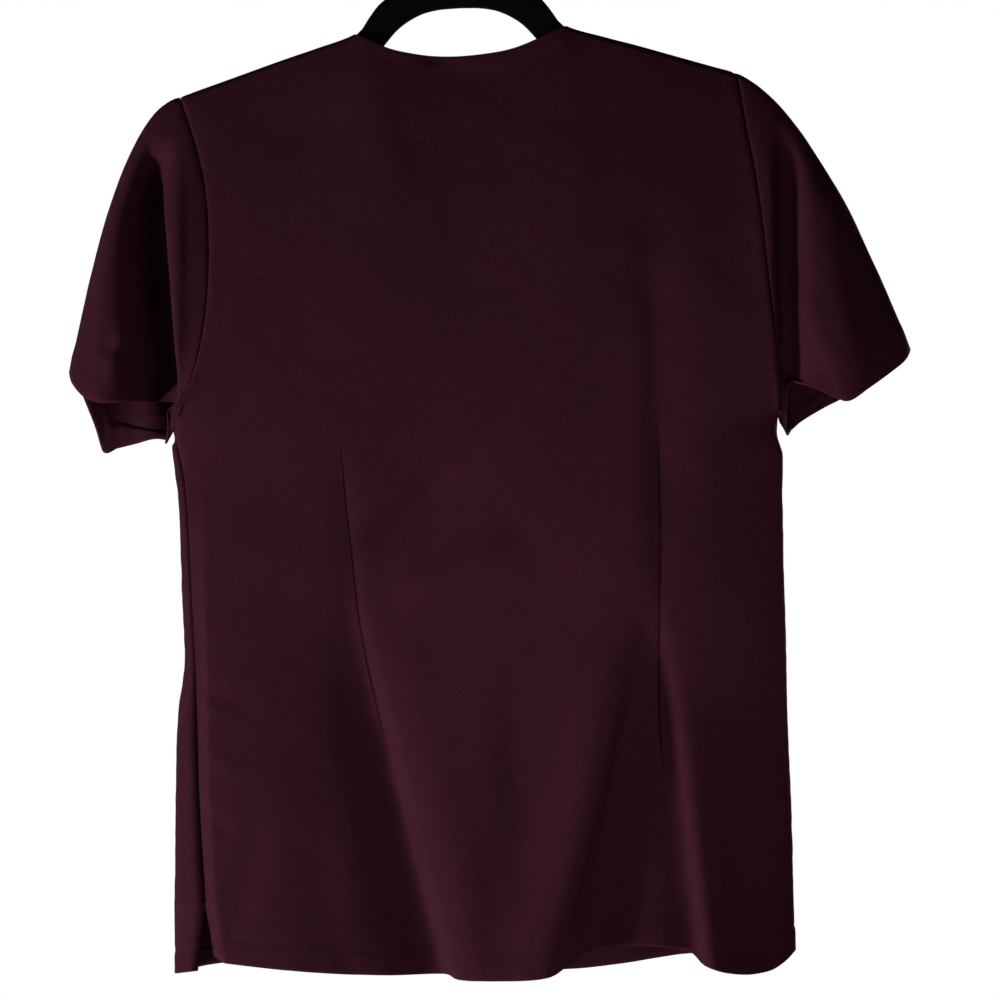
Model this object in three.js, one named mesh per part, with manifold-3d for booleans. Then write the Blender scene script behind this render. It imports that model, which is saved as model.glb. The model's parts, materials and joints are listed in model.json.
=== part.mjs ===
// A scrub top hanging on a thin flocked hanger.
//
// Frame: millimetres, +Z up, origin at the inside top of the hanger's hook, where a rail
// carries it. The garment's front faces -Y and its back faces +Y. The wearer's left is +X.
//
// "down" in the tables is the distance below the neck level, the height of the two points
// where the shoulder seams meet the neckline. Every cloth piece is a wall made from a grid
// of points on its outer face, and the pieces share their points along each seam.

import * as THREE from 'three';
import { mergeVertices } from 'three/addons/utils/BufferGeometryUtils.js';
import Module from 'manifold-3d';

// ---------------------------------------------------------------- driving sizes, mm

const CLOTH_WALL = 1.4;
const SEAM_GAP = 0.3;
const CUT_CLEARANCE = 0.25;

const HOOK_ABOVE_NECK = 120;      // hook's inside top above the neck level
const GARMENT_SHIFT = -2;         // the top hangs this far to one side of the hook
const HANGER_LEAN = Math.tan(THREE.MathUtils.degToRad(1));   // left end hangs lower

const TIP_LEFT = 207;             // shoulder tips and neck points, from the centre line
const TIP_RIGHT = -201;
const NECK_HALF = 78;
const UNDERARM_DOWN = 292;        // where the armholes end and the side seams start
const VENT_DOWN = 635;            // where the side seams end and the side vents start
const FRONT_NECK_DOWN = 165;      // point of the V neck
const SHOULDER_COLUMNS = 10;      // grid columns along each shoulder
const SIDE_ROWS = 13;             // grid rows along the side seam and the vent
const VENT_ROWS = 3;
const SLEEVE_COLUMNS = 10;        // grid columns from armhole to sleeve hem
const CORNER_TURN = 10;           // a panel that turns a corner swells most this far from its seam
const FULL_SWELL = 4;             // a swell this large bows out in full

// How the depth of a panel fills from its side seams to its middle, and that of a sleeve's
// face from its folds: a higher power keeps the middle flat, a lower one rounds the sides.
const PANEL_FLATNESS = 2.6;
const PANEL_ROUNDING = 0.62;
const SLEEVE_ROUNDING = 0.6;
const SLEEVE_LIFT_FADE = 1.6;     // how soon the lift of the sleeve's top fold fades round it

const HANGER_THICK = 5.5;
const HANGER_HALF = 204;
const HANGER_BAND = 23.5;         // height of the hanger's band
const HANGER_UNDER_CLOTH = 3.3;   // hanger's top edge below the shoulder seam
const HANGER_BEVEL = 1.1;
const HANGER_TAPER = 1.5;         // the band is this much narrower along its arms
const ARM_SLANT = 7;              // a point of the arm's lower edge lies this far inside its top point
const HOOK_WIRE = 3.4;
const HOOK_INSIDE_RADIUS = 20;
const HOOK_STEPS = 48;
const SOCKET_DEPTH = 14;
const SOCKET_CLEARANCE = 0.3;

const CLOTH = { color: 0x3a1722, roughness: 0.85, metalness: 0 };
const FLOCK = { color: 0x0b0b0c, roughness: 0.95, metalness: 0 };
const CHROME = { color: 0xb8babd, roughness: 0.25, metalness: 1 };

// ---------------------------------------------------------------- tables

function table(columns, rows) {
  const names = columns.split(' ');
  return rows.map((row) => Object.fromEntries(names.map((name, i) => [name, row[i]])));
}

// The hanger's shoulder line, the same on both arms before the hanger leans.
const SHOULDER = table('out down', [
  [70, -8], [78, 0], [105, 9], [130, 16.5], [155, 24.5], [180, 32.5], [207, 41],
]);

// Armhole seams: x on each panel.
const ARMHOLE = table('down backLeft backRight frontLeft frontRight', [
  [35, 209, -201, 209, -201],
  [45, 207, -203, 207, -201],
  [80, 196, -208, 200, -198],
  [110, 189.5, -213, 196, -198],
  [145, 187, -217, 195, -200],
  [190, 188.5, -221, 196, -204],
  [225, 194, -224.5, 201, -212],
  [254, 202.5, -227, 207.5, -221],
  [275, 212.5, -227.8, 213.5, -226],
  [292, 217.5, -228, 217.5, -228],
]);

// How much of a panel's depth is left at its armhole seam, from tip (0) to underarm (1).
const ARMHOLE_DEPTH = table('along share', [
  [0, 1], [0.3, 0.95], [0.6, 0.8], [0.85, 0.6], [0.95, 0.42], [1, 0],
]);

// Side seams, and how far the panel that turns the corner swells past its seam: the front
// panel turns the left corner and the back panel the right one.
const SIDE_SEAM = table('down leftX leftY rightX rightY frontSwell backSwell', [
  [292, 217.5, 4, -228, -3, 0, 0],
  [318, 211, 9, -226, -7, 3.5, 1.5],
  [345, 207.5, 13, -223.5, -10, 4, 3.5],
  [415, 205, 16, -222, -12, 5.5, 5],
  [460, 203.5, 16, -222, -13, 6.5, 5.5],
  [500, 203, 16, -222, -14, 13.5, 5.5],
  [560, 202.5, 17, -222.5, -14, 16.5, 6.5],
  [635, 199, 20, -223, -14, 23, 6.5],
]);

// Lower corners of the panels, where the vents open.
const CORNER = {
  back: { leftX: 193, leftY: 20, rightX: -224, rightY: -8, swell: 5 },
  front: { leftX: 209, leftY: -5, rightX: -214, rightY: -20, swell: 16 },
};

const HEM = {
  back: table('x down', [
    [-232, 680], [-224, 687], [-212, 693], [-190, 693.5], [-162, 685], [-150, 674],
    [-120, 669.5], [-90, 671], [-62, 682], [-40, 687], [0, 688], [60, 686],
    [105, 683], [150, 678], [190, 673.5], [205, 672],
  ]),
  front: table('x down', [
    [-225, 685], [-156, 690], [-104, 697], [-66, 700], [0, 696], [66, 689],
    [150, 685], [200, 687], [226, 691],
  ]),
};

// Neck edges: the back one is a shallow curve and the front one a V.
const NECK = {
  back: table('x down', [
    [-78, 0], [-43, 15], [-20, 19.5], [10, 20.5], [49, 14], [78, 0],
  ]),
  front: table('x down', [
    [-78, 0], [-60, 42], [0, FRONT_NECK_DOWN], [60, 42], [78, 0],
  ]),
};

// Depth of each panel from the plane of the hanger, by the drop below the shoulder line.
const DEPTH = table('drop back front', [
  [0, 0, 0], [3, 4.2, 4.2], [8, 5.4, 5.4], [20, 7, 7.5], [50, 10, 11], [100, 15, 18],
  [200, 24, 28], [300, 30, 32], [450, 31, 32], [560, 34, 36], [690, 40, 42],
]);

// Folds in the panels: a straight line from one point to the other, a height (toward the
// outside of the garment) that grows along the line, and a width on each side of it.
const FOLDS = {
  back: table('fromX fromDown toX toDown height leftWidth rightWidth', [
    [84, 400, 28, 690, -9, 42, 20],
    [0, 420, -18, 690, 7, 48, 36],
    [-136, 420, -84, 660, -10, 22, 34],
    [-150, 470, -166, 690, 6, 14, 30],
    [90, 380, 20, 335, -2.5, 14, 14],
    [150, 500, 135, 690, 4, 34, 34],
  ]),
  front: table('fromX fromDown toX toDown height leftWidth rightWidth', [
    [-90, 390, -40, 690, -8, 34, 22],
    [10, 420, 0, 690, 6, 44, 40],
    [110, 400, 70, 690, -9, 24, 40],
    [-150, 450, -150, 690, 5, 30, 26],
  ]),
};

// Sleeve hems, once round: from the fold at the top, along the back to the underarm
// (0.5) and along the front to the fold again. "out" is the distance from the centre.
const LEFT_SLEEVE = {
  side: 1,
  lift: 89,
  swing: 4,
  bulge: 26,
  hem: table('turn out y down', [
    [0, 291, 0, 243], [0.02, 291.5, 4, 246], [0.06, 289, 9, 254], [0.12, 280, 14, 264],
    [0.2, 266, 18, 269], [0.28, 250, 18, 268.5], [0.36, 235, 17, 268], [0.42, 223, 15, 269],
    [0.46, 219, 11, 276], [0.5, 222, 2, 298], [0.54, 226, -8, 296], [0.6, 233, -15, 295],
    [0.7, 247, -21, 298], [0.8, 262, -24, 301], [0.88, 274, -22, 303], [0.92, 278.5, -16, 285],
    [0.95, 283, -9, 268], [0.98, 289, -4, 250], [1, 291, 0, 243],
  ]),
  folds: table('fromX fromDown toX toDown height leftWidth rightWidth', [
    [218, 72, 233, 130, -14, 11, 10],
    [235, 110, 229, 300, -11, 12, 11],
  ]),
};

const RIGHT_SLEEVE = {
  side: -1,
  lift: 76,
  swing: -2,
  bulge: 24,
  hem: table('turn out y down', [
    [0, 324, 0, 240], [0.02, 324.5, 4, 242.5], [0.06, 320, 10, 250], [0.12, 308, 16, 259],
    [0.2, 290, 22, 271], [0.27, 276, 24, 279.5], [0.33, 266, 22, 277], [0.4, 249, 18, 268],
    [0.46, 235, 11, 263], [0.5, 233, 0, 300], [0.55, 238, -11, 299], [0.62, 247, -18, 292],
    [0.7, 263, -24, 283], [0.8, 285, -24, 272], [0.9, 306, -16, 258], [0.96, 320, -7, 246],
    [1, 324, 0, 240],
  ]),
  folds: table('fromX fromDown toX toDown height leftWidth rightWidth', [
    [-236, 70, -231, 235, -14, 8, 10],
  ]),
};

// The hanger's arch over the neck: outer and inner edges of the band, and how high.
const ARCH_OUTER = table('out up', [
  [0, 40], [26, 37.5], [45, 30.5], [59, 21], [66, 12.5], [72, 3.5],
]);
const ARCH_INNER = table('out up', [
  [0, 16.2], [16, 15.4], [30, 12], [45, 3], [57, -10], [68, -23],
]);

// The hook's shank, from its foot in the socket to where its ring begins.
const HOOK_SHANK = table('out up', [[0, 0], [0, 12], [0, 22], [2.5, 33]]);

// The rounded end of each arm: how far inside the hanger's end, and how far below its top line.
const ARM_END = table('inside below', [[5, 2], [0, 8], [1, 13], [6, 17]]);

// ---------------------------------------------------------------- helpers

const mix = THREE.MathUtils.lerp;
const rise = THREE.MathUtils.smoothstep;

// A smooth curve through one column of a table, held level past its ends.
function read(rows, key, value, column) {
  let i = 1;
  while (i < rows.length - 1 && value > rows[i][key]) i += 1;
  const a = rows[i - 1];
  const b = rows[i];
  const span = b[key] - a[key];
  const t = THREE.MathUtils.clamp((value - a[key]) / span, 0, 1);
  const slope = (p, q) => (q[column] - p[column]) / (q[key] - p[key]);
  const startSlope = slope(rows[i - 2] ?? a, b) * span;
  const endSlope = slope(a, rows[i + 1] ?? b) * span;
  const t2 = t * t;
  const t3 = t2 * t;
  return (2 * t3 - 3 * t2 + 1) * a[column] + (t3 - 2 * t2 + t) * startSlope
    + (3 * t2 - 2 * t3) * b[column] + (t3 - t2) * endSlope;
}

function shoulderDown(x) {
  return read(SHOULDER, 'out', Math.abs(x), 'down') + x * HANGER_LEAN;
}

function foldHeight(folds, x, down) {
  let height = 0;
  for (const fold of folds) {
    const along = THREE.MathUtils.clamp((down - fold.fromDown) / (fold.toDown - fold.fromDown), 0, 1);
    const off = x - mix(fold.fromX, fold.toX, along);
    const width = off > 0 ? fold.leftWidth : fold.rightWidth;
    height += fold.height * rise(along, 0, 0.45) * Math.exp(-((off / width) ** 2));
  }
  return height;
}

function place(x, y, down) {
  return new THREE.Vector3(x + GARMENT_SHIFT, y, -HOOK_ABOVE_NECK - down);
}

// ---------------------------------------------------------------- front and back panels

// Columns across the neck. The first opens at once, to let the hanger's arch out.
const NECK_SHARES = [0, 0.025, 0.17, 0.33, 0.5, 0.67, 0.83, 0.975, 1];
const NECK_COLUMNS = NECK_SHARES.length - 1;
const COLUMNS = 2 * SHOULDER_COLUMNS + NECK_COLUMNS;

// Rows from shoulder to underarm stand close together where the cloth turns over the hanger.
const ARMHOLE_ROWS = [0, 0.013, 0.035, 0.09, 0.18, 0.28, 0.38, 0.49, 0.6, 0.71, 0.82, 0.9, 0.96, 1];

// x of each column along the top edge, so that a column ends at each neck point.
function topX(column) {
  if (column <= SHOULDER_COLUMNS) return mix(TIP_LEFT, NECK_HALF, column / SHOULDER_COLUMNS);
  const past = column - SHOULDER_COLUMNS;
  if (past <= NECK_COLUMNS) return mix(NECK_HALF, -NECK_HALF, NECK_SHARES[past]);
  return mix(-NECK_HALF, TIP_RIGHT, (past - NECK_COLUMNS) / SHOULDER_COLUMNS);
}

function topDown(panel, column) {
  const x = topX(column);
  const onNeck = column > SHOULDER_COLUMNS && column < SHOULDER_COLUMNS + NECK_COLUMNS;
  return onNeck ? read(NECK[panel], 'x', x, 'down') + x * HANGER_LEAN : shoulderDown(x);
}

// Share of the width at a column, closer together toward the sides.
function columnShare(column) {
  const even = column / COLUMNS;
  return 0.5 * even + 0.25 * (1 - Math.cos(Math.PI * even));
}

// The two side edges of a panel at one grid row, with the fall of the row in its zone.
function rowEdges(panel, row) {
  const outward = panel === 'back' ? 1 : -1;
  const lastArmhole = ARMHOLE_ROWS.length - 1;
  if (row <= lastArmhole) {
    const along = ARMHOLE_ROWS[row];
    const edge = (tip, column, seamY) => {
      const down = mix(shoulderDown(tip), UNDERARM_DOWN, along);
      const x = row === 0 ? tip : read(ARMHOLE, 'down', down, column);
      const depth = read(DEPTH, 'drop', Math.max(down - shoulderDown(x), 0), panel);
      const share = read(ARMHOLE_DEPTH, 'along', along, 'share');
      return { x, y: outward * depth * share + seamY * rise(along, 0.7, 1) };
    };
    return {
      zone: 0,
      along,
      left: edge(TIP_LEFT, `${panel}Left`, SIDE_SEAM[0].leftY),
      right: edge(TIP_RIGHT, `${panel}Right`, SIDE_SEAM[0].rightY),
      swell: 0,
    };
  }
  const sideRow = row - lastArmhole;
  const seam = (down, column) => read(SIDE_SEAM, 'down', down, column);
  const seamAt = (down) => ({
    left: { x: seam(down, 'leftX'), y: seam(down, 'leftY') },
    right: { x: seam(down, 'rightX'), y: seam(down, 'rightY') },
    swell: seam(down, `${panel}Swell`),
  });
  if (sideRow <= SIDE_ROWS) {
    const along = sideRow / SIDE_ROWS;
    return { zone: 1, along, ...seamAt(mix(UNDERARM_DOWN, VENT_DOWN, along)) };
  }
  const along = (sideRow - SIDE_ROWS) / VENT_ROWS;
  const top = seamAt(VENT_DOWN);
  const corner = CORNER[panel];
  return {
    zone: 2,
    along,
    left: { x: mix(top.left.x, corner.leftX, along), y: mix(top.left.y, corner.leftY, along) },
    right: { x: mix(top.right.x, corner.rightX, along), y: mix(top.right.y, corner.rightY, along) },
    swell: mix(top.swell, corner.swell, along),
  };
}

function panelPoint(panel, row, column) {
  const outward = panel === 'back' ? 1 : -1;
  const edges = rowEdges(panel, row);
  const topShare = (TIP_LEFT - topX(column)) / (TIP_LEFT - TIP_RIGHT);
  const share = edges.zone === 0 ? mix(topShare, columnShare(column), edges.along) : columnShare(column);
  const width = edges.left.x - edges.right.x;
  let x = mix(edges.left.x, edges.right.x, share);

  // The panel that turns the corner bows out past its seam.
  if (edges.swell > 0) {
    const turns = width * (panel === 'front' ? share : 1 - share) / CORNER_TURN;
    const toward = panel === 'front' ? 1 : -1;
    const reach = (edges.swell + CORNER_TURN) * rise(edges.swell, 0, FULL_SWELL);
    x += toward * reach * turns * Math.exp(1 - turns);
  }

  let down;
  if (edges.zone === 0) down = mix(topDown(panel, column), UNDERARM_DOWN, edges.along);
  if (edges.zone === 1) down = mix(UNDERARM_DOWN, VENT_DOWN, edges.along);
  if (edges.zone === 2) down = mix(VENT_DOWN, read(HEM[panel], 'x', x, 'down'), edges.along);

  const fill = (1 - Math.abs(1 - 2 * share) ** PANEL_FLATNESS) ** PANEL_ROUNDING;
  const depth = read(DEPTH, 'drop', Math.max(down - shoulderDown(x), 0), panel);
  const fold = foldHeight(FOLDS[panel], x, down) * Math.sqrt(fill);
  const y = mix(mix(edges.left.y, edges.right.y, share), outward * depth, fill) + outward * fold;
  return place(x, y, down);
}

function panelGrid(panel) {
  const rows = ARMHOLE_ROWS.length + SIDE_ROWS + VENT_ROWS;
  return Array.from({ length: rows }, (_, row) => (
    Array.from({ length: COLUMNS + 1 }, (__, column) => panelPoint(panel, row, column))
  ));
}

// ---------------------------------------------------------------- sleeves

// Points round an armhole: down the back panel's edge and up the front panel's.
function armholeRing(grids, side) {
  const column = side > 0 ? 0 : COLUMNS;
  const last = ARMHOLE_ROWS.length - 1;
  const ring = [];
  for (let row = 0; row <= last; row += 1) {
    ring.push({ turn: ARMHOLE_ROWS[row] / 2, point: grids.back[row][column] });
  }
  for (let row = last - 1; row > 0; row -= 1) {
    ring.push({ turn: 1 - ARMHOLE_ROWS[row] / 2, point: grids.front[row][column] });
  }
  return ring;
}

function sleeveGrid(sleeve, grids) {
  const ring = armholeRing(grids, sleeve.side);
  return Array.from({ length: SLEEVE_COLUMNS + 1 }, (_, step) => {
    const t = step / SLEEVE_COLUMNS;
    return ring.map(({ turn, point }) => {
      const hem = place(
        sleeve.side * read(sleeve.hem, 'turn', turn, 'out'),
        read(sleeve.hem, 'turn', turn, 'y'),
        read(sleeve.hem, 'turn', turn, 'down'),
      );
      const fromTop = 1 - Math.abs(1 - 2 * turn);       // 0 at the top fold, 1 underarm
      const face = Math.sin(2 * Math.PI * turn);        // 1 on the back, -1 on the front
      const handle = point.clone().lerp(hem, 0.5);
      handle.x += sleeve.side * sleeve.swing * (1 - fromTop);
      const round = Math.sign(face) * Math.abs(face) ** SLEEVE_ROUNDING;
      handle.y = sleeve.bulge * round * (1 - fromTop / 2);
      handle.z += sleeve.lift * (1 - fromTop) ** SLEEVE_LIFT_FADE;
      const p = new THREE.QuadraticBezierCurve3(point, handle, hem).getPoint(t);
      if (face > 0) {
        const fold = foldHeight(sleeve.folds, p.x - GARMENT_SHIFT, -HOOK_ABOVE_NECK - p.z);
        p.y += fold * rise(t, 0, 0.3) * rise(face, 0, 0.5);
      }
      return p;
    });
  });
}

// ---------------------------------------------------------------- cloth walls

function neighbour(patch, i, j) {
  const { grid, wraps } = patch;
  const count = grid[0].length;
  const row = THREE.MathUtils.clamp(i, 0, grid.length - 1);
  const column = wraps ? (j + count) % count : THREE.MathUtils.clamp(j, 0, count - 1);
  return grid[row][column];
}

function faceNormal(patch, i, j) {
  const across = neighbour(patch, i, j + 1).clone().sub(neighbour(patch, i, j - 1));
  const along = neighbour(patch, i + 1, j).clone().sub(neighbour(patch, i - 1, j));
  return across.cross(along).multiplyScalar(patch.turned ? -1 : 1).normalize();
}

// From an edge point into the piece, or null where the point isn't on an edge.
function inward(patch, i, j) {
  const point = patch.grid[i][j];
  const direction = new THREE.Vector3();
  if (i === 0) direction.add(neighbour(patch, 1, j).clone().sub(point).normalize());
  if (i === patch.grid.length - 1) {
    direction.add(neighbour(patch, i - 1, j).clone().sub(point).normalize());
  }
  if (!patch.wraps && j === 0) direction.add(neighbour(patch, i, 1).clone().sub(point).normalize());
  if (!patch.wraps && j === patch.grid[0].length - 1) {
    direction.add(neighbour(patch, i, j - 1).clone().sub(point).normalize());
  }
  return direction.lengthSq() > 0 ? direction.normalize() : null;
}

// Along the edge at an edge point, or null at a corner.
function edgeTangent(patch, i, j) {
  const onRow = i === 0 || i === patch.grid.length - 1;
  const onColumn = !patch.wraps && (j === 0 || j === patch.grid[0].length - 1);
  if (onRow === onColumn) return null;
  const ahead = onRow ? neighbour(patch, i, j + 1) : neighbour(patch, i + 1, j);
  const behind = onRow ? neighbour(patch, i, j - 1) : neighbour(patch, i - 1, j);
  return ahead.clone().sub(behind).normalize();
}

const square = (vector, axis) => vector.addScaledVector(axis, -vector.dot(axis)).normalize();

const seamKey = (point) => point.toArray().map((value) => Math.round(value * 50)).join();

// Every point that pieces share along a seam, with each piece's normal and inward direction.
function findSeams(patches) {
  const seams = new Map();
  for (const patch of patches) {
    patch.grid.forEach((row, i) => row.forEach((point, j) => {
      const direction = inward(patch, i, j);
      if (!direction) return;
      const tangent = edgeTangent(patch, i, j);
      if (tangent) square(direction, tangent);
      const key = seamKey(point);
      if (!seams.has(key)) seams.set(key, []);
      seams.get(key).push({ patch, direction, normal: faceNormal(patch, i, j) });
    }));
  }
  return seams;
}

// A closed wall: the outer face, the inner face one cloth thickness behind it, and the rim.
// "grow" swells it on both faces and at its seams, for cutting a neighbour clear of it.
function wallGeometry(patch, seams, grow = 0) {
  const outer = [];
  const inner = [];
  patch.grid.forEach((row, i) => row.forEach((point, j) => {
    const p = point.clone();
    let normal = faceNormal(patch, i, j);
    const meeting = seams.get(seamKey(point)) ?? [];
    const own = meeting.find((entry) => entry.patch === patch);
    const others = meeting.filter((entry) => entry.patch !== patch);
    if (own && others.length > 0) {
      const away = own.direction.clone();
      for (const entry of others) away.addScaledVector(entry.direction, -1 / others.length);
      p.addScaledVector(away.normalize(), SEAM_GAP / 2 - grow);
      normal = meeting.reduce((sum, entry) => sum.add(entry.normal), new THREE.Vector3());
      square(normal, away);
    }
    outer.push(p.clone().addScaledVector(normal, grow));
    inner.push(p.clone().addScaledVector(normal, -CLOTH_WALL - grow));
  }));

  const count = patch.grid[0].length;
  const last = patch.grid.length - 1;
  const triangles = [];
  const quad = (a, b, c, d) => triangles.push([a, b, c], [a, c, d]);
  const at = (face, i, j) => face[i * count + (j % count)];
  const spans = patch.wraps ? count : count - 1;
  for (let i = 0; i < last; i += 1) {
    for (let j = 0; j < spans; j += 1) {
      quad(at(outer, i, j), at(outer, i, j + 1), at(outer, i + 1, j + 1), at(outer, i + 1, j));
      quad(at(inner, i, j), at(inner, i + 1, j), at(inner, i + 1, j + 1), at(inner, i, j + 1));
    }
    if (!patch.wraps) {
      quad(at(outer, i, 0), at(outer, i + 1, 0), at(inner, i + 1, 0), at(inner, i, 0));
      quad(at(outer, i + 1, spans), at(outer, i, spans), at(inner, i, spans), at(inner, i + 1, spans));
    }
  }
  for (let j = 0; j < spans; j += 1) {
    quad(at(outer, 0, j + 1), at(outer, 0, j), at(inner, 0, j), at(inner, 0, j + 1));
    quad(at(outer, last, j), at(outer, last, j + 1), at(inner, last, j + 1), at(inner, last, j));
  }
  const points = triangles.flatMap(([a, b, c]) => (patch.turned ? [a, c, b] : [a, b, c]));
  return new THREE.BufferGeometry().setFromPoints(points);
}

// ---------------------------------------------------------------- hanger

// The band's outline in the X-Z plane, in heights above the neck level.
function hangerOutline() {
  const arm = (side) => {
    const at = (out, up) => new THREE.Vector2(side * out + GARMENT_SHIFT, up - side * out * HANGER_LEAN);
    const armOuts = [];
    for (let column = SHOULDER_COLUMNS; column >= 0; column -= 1) {
      const x = side > 0 ? topX(column) : -topX(COLUMNS - column);
      if (x > NECK_HALF && x < HANGER_HALF - ARM_END[1].below) armOuts.push(x);
    }
    const top = (out) => -read(SHOULDER, 'out', out, 'down') - HANGER_UNDER_CLOTH;
    const bottom = (out) => at(out - ARM_SLANT, top(out) - HANGER_BAND + HANGER_TAPER);
    const end = ARM_END.map((row) => at(HANGER_HALF - row.inside, top(HANGER_HALF) - row.below));
    const outer = [
      ...ARCH_OUTER.slice(1).map((row) => at(row.out, row.up)),
      at(NECK_HALF - 2, top(NECK_HALF) - 0.8),
      ...armOuts.map((out) => at(out, top(out))),
      ...end.slice(0, 2),
    ];
    const inner = [
      ...end.slice(2),
      ...[...armOuts].reverse().slice(2, -2).map(bottom),
      ...[...ARCH_INNER].reverse().slice(0, -1).map((row) => at(row.out, row.up)),
    ];
    return { outer, inner };
  };
  const left = arm(1);
  const right = arm(-1);
  return [
    new THREE.Vector2(GARMENT_SHIFT, ARCH_OUTER[0].up),
    ...left.outer,
    ...left.inner,
    new THREE.Vector2(GARMENT_SHIFT, ARCH_INNER[0].up),
    ...[...right.inner].reverse(),
    ...[...right.outer].reverse(),
  ];
}

function solidFrom(wasm, geometry) {
  const bare = geometry.clone();
  bare.deleteAttribute('normal');
  bare.deleteAttribute('uv');
  const merged = mergeVertices(bare, 1e-4);
  return new wasm.Manifold(new wasm.Mesh({
    numProp: 3,
    vertProperties: new Float32Array(merged.attributes.position.array),
    triVerts: new Uint32Array(merged.index.array),
  }));
}

function geometryFrom(solid) {
  const mesh = solid.getMesh();
  const geometry = new THREE.BufferGeometry();
  geometry.setAttribute('position', new THREE.BufferAttribute(mesh.vertProperties, 3));
  geometry.setIndex(new THREE.BufferAttribute(mesh.triVerts, 1));
  return geometry;
}

// A flat band with softened edges, and a socket in the top of its arch for the hook.
function hangerBodyGeometry(wasm) {
  const band = new THREE.ExtrudeGeometry(new THREE.Shape(hangerOutline()), {
    depth: HANGER_THICK - 2 * HANGER_BEVEL,
    bevelEnabled: true,
    bevelThickness: HANGER_BEVEL,
    bevelSize: HANGER_BEVEL,
    bevelOffset: -HANGER_BEVEL,
    bevelSegments: 1,
  });
  band.rotateX(Math.PI / 2);
  band.translate(0, HANGER_THICK / 2 - HANGER_BEVEL, -HOOK_ABOVE_NECK);
  const radius = HOOK_WIRE / 2 + SOCKET_CLEARANCE;
  const socket = new THREE.CylinderGeometry(radius, radius, 2 * SOCKET_DEPTH, 16);
  socket.rotateX(Math.PI / 2);
  socket.translate(0, 0, -HOOK_ABOVE_NECK + ARCH_OUTER[0].up);
  return geometryFrom(solidFrom(wasm, band).subtract(solidFrom(wasm, socket)));
}

// The wire rises from the arch, swings to one side and turns over in three quarters of a circle.
function hookGeometry() {
  const radius = HOOK_INSIDE_RADIUS + HOOK_WIRE / 2;
  const centre = -HOOK_INSIDE_RADIUS;
  const foot = -HOOK_ABOVE_NECK + ARCH_OUTER[0].up - SOCKET_DEPTH + SOCKET_CLEARANCE;
  const points = HOOK_SHANK.map((row) => new THREE.Vector3(row.out, 0, foot + row.up));
  for (let degrees = -50; degrees <= 190; degrees += 20) {
    const angle = THREE.MathUtils.degToRad(degrees);
    points.push(new THREE.Vector3(radius * Math.cos(angle), 0, centre + radius * Math.sin(angle)));
  }
  const section = new THREE.Shape();
  section.absarc(0, 0, HOOK_WIRE / 2, 0, 2 * Math.PI);
  return new THREE.ExtrudeGeometry(section, {
    steps: HOOK_STEPS,
    curveSegments: 5,
    bevelEnabled: false,
    extrudePath: new THREE.CatmullRomCurve3(points),
  });
}

// A sleeve turns back on the panels under the arm, so it is cut clear of both of them there.
function sleeveGeometry(wasm, patch, panels, seams) {
  let solid = solidFrom(wasm, wallGeometry(patch, seams));
  for (const panel of panels) {
    for (const grow of [CUT_CLEARANCE, CUT_CLEARANCE / 2, 0]) {
      solid = solid.subtract(solidFrom(wasm, wallGeometry(panel, seams, grow)));
    }
  }
  const [largest] = solid.decompose().sort((a, b) => b.volume() - a.volume());
  return geometryFrom(largest);
}

// ---------------------------------------------------------------- the whole part

function mesh(name, geometry, finish) {
  const piece = new THREE.Mesh(geometry, new THREE.MeshStandardMaterial(finish));
  piece.name = name;
  return piece;
}

const wasm = await Module();
wasm.setup();

const grids = { back: panelGrid('back'), front: panelGrid('front') };
const patches = {
  back_panel: { grid: grids.back, wraps: false, turned: false },
  front_panel: { grid: grids.front, wraps: false, turned: true },
  sleeve_left: { grid: sleeveGrid(LEFT_SLEEVE, grids), wraps: true, turned: false },
  sleeve_right: { grid: sleeveGrid(RIGHT_SLEEVE, grids), wraps: true, turned: true },
};
const seams = findSeams(Object.values(patches));

const garment = new THREE.Group();
for (const [name, patch] of Object.entries(patches)) {
  const panels = [patches.back_panel, patches.front_panel];
  const geometry = patch.wraps
    ? sleeveGeometry(wasm, patch, panels, seams)
    : wallGeometry(patch, seams);
  garment.add(mesh(name, geometry, CLOTH));
}

const hanger = new THREE.Group();
hanger.add(mesh('hanger_body', hangerBodyGeometry(wasm), FLOCK));
hanger.add(mesh('hanger_hook', hookGeometry(), CHROME));

const group = new THREE.Group();
group.add(garment, hanger);

export default group;
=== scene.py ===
"""A scrub top hanging on a thin flocked hanger.

The frame's origin is the inside top of the hanger's hook. +Z is up, the garment's front faces
-Y and its back +Y, and the wearer's left is +X. The tables are in millimetres: x is measured
from the garment's centre line, and "down" is the distance below the neck level, the height of
the two points where the shoulder seams meet the neckline.
"""

import json
import math

import bmesh
import bpy
import numpy as np
from bpy.props import FloatProperty, FloatVectorProperty, IntProperty, PointerProperty
from mathutils import Matrix, Vector, geometry, noise


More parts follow.
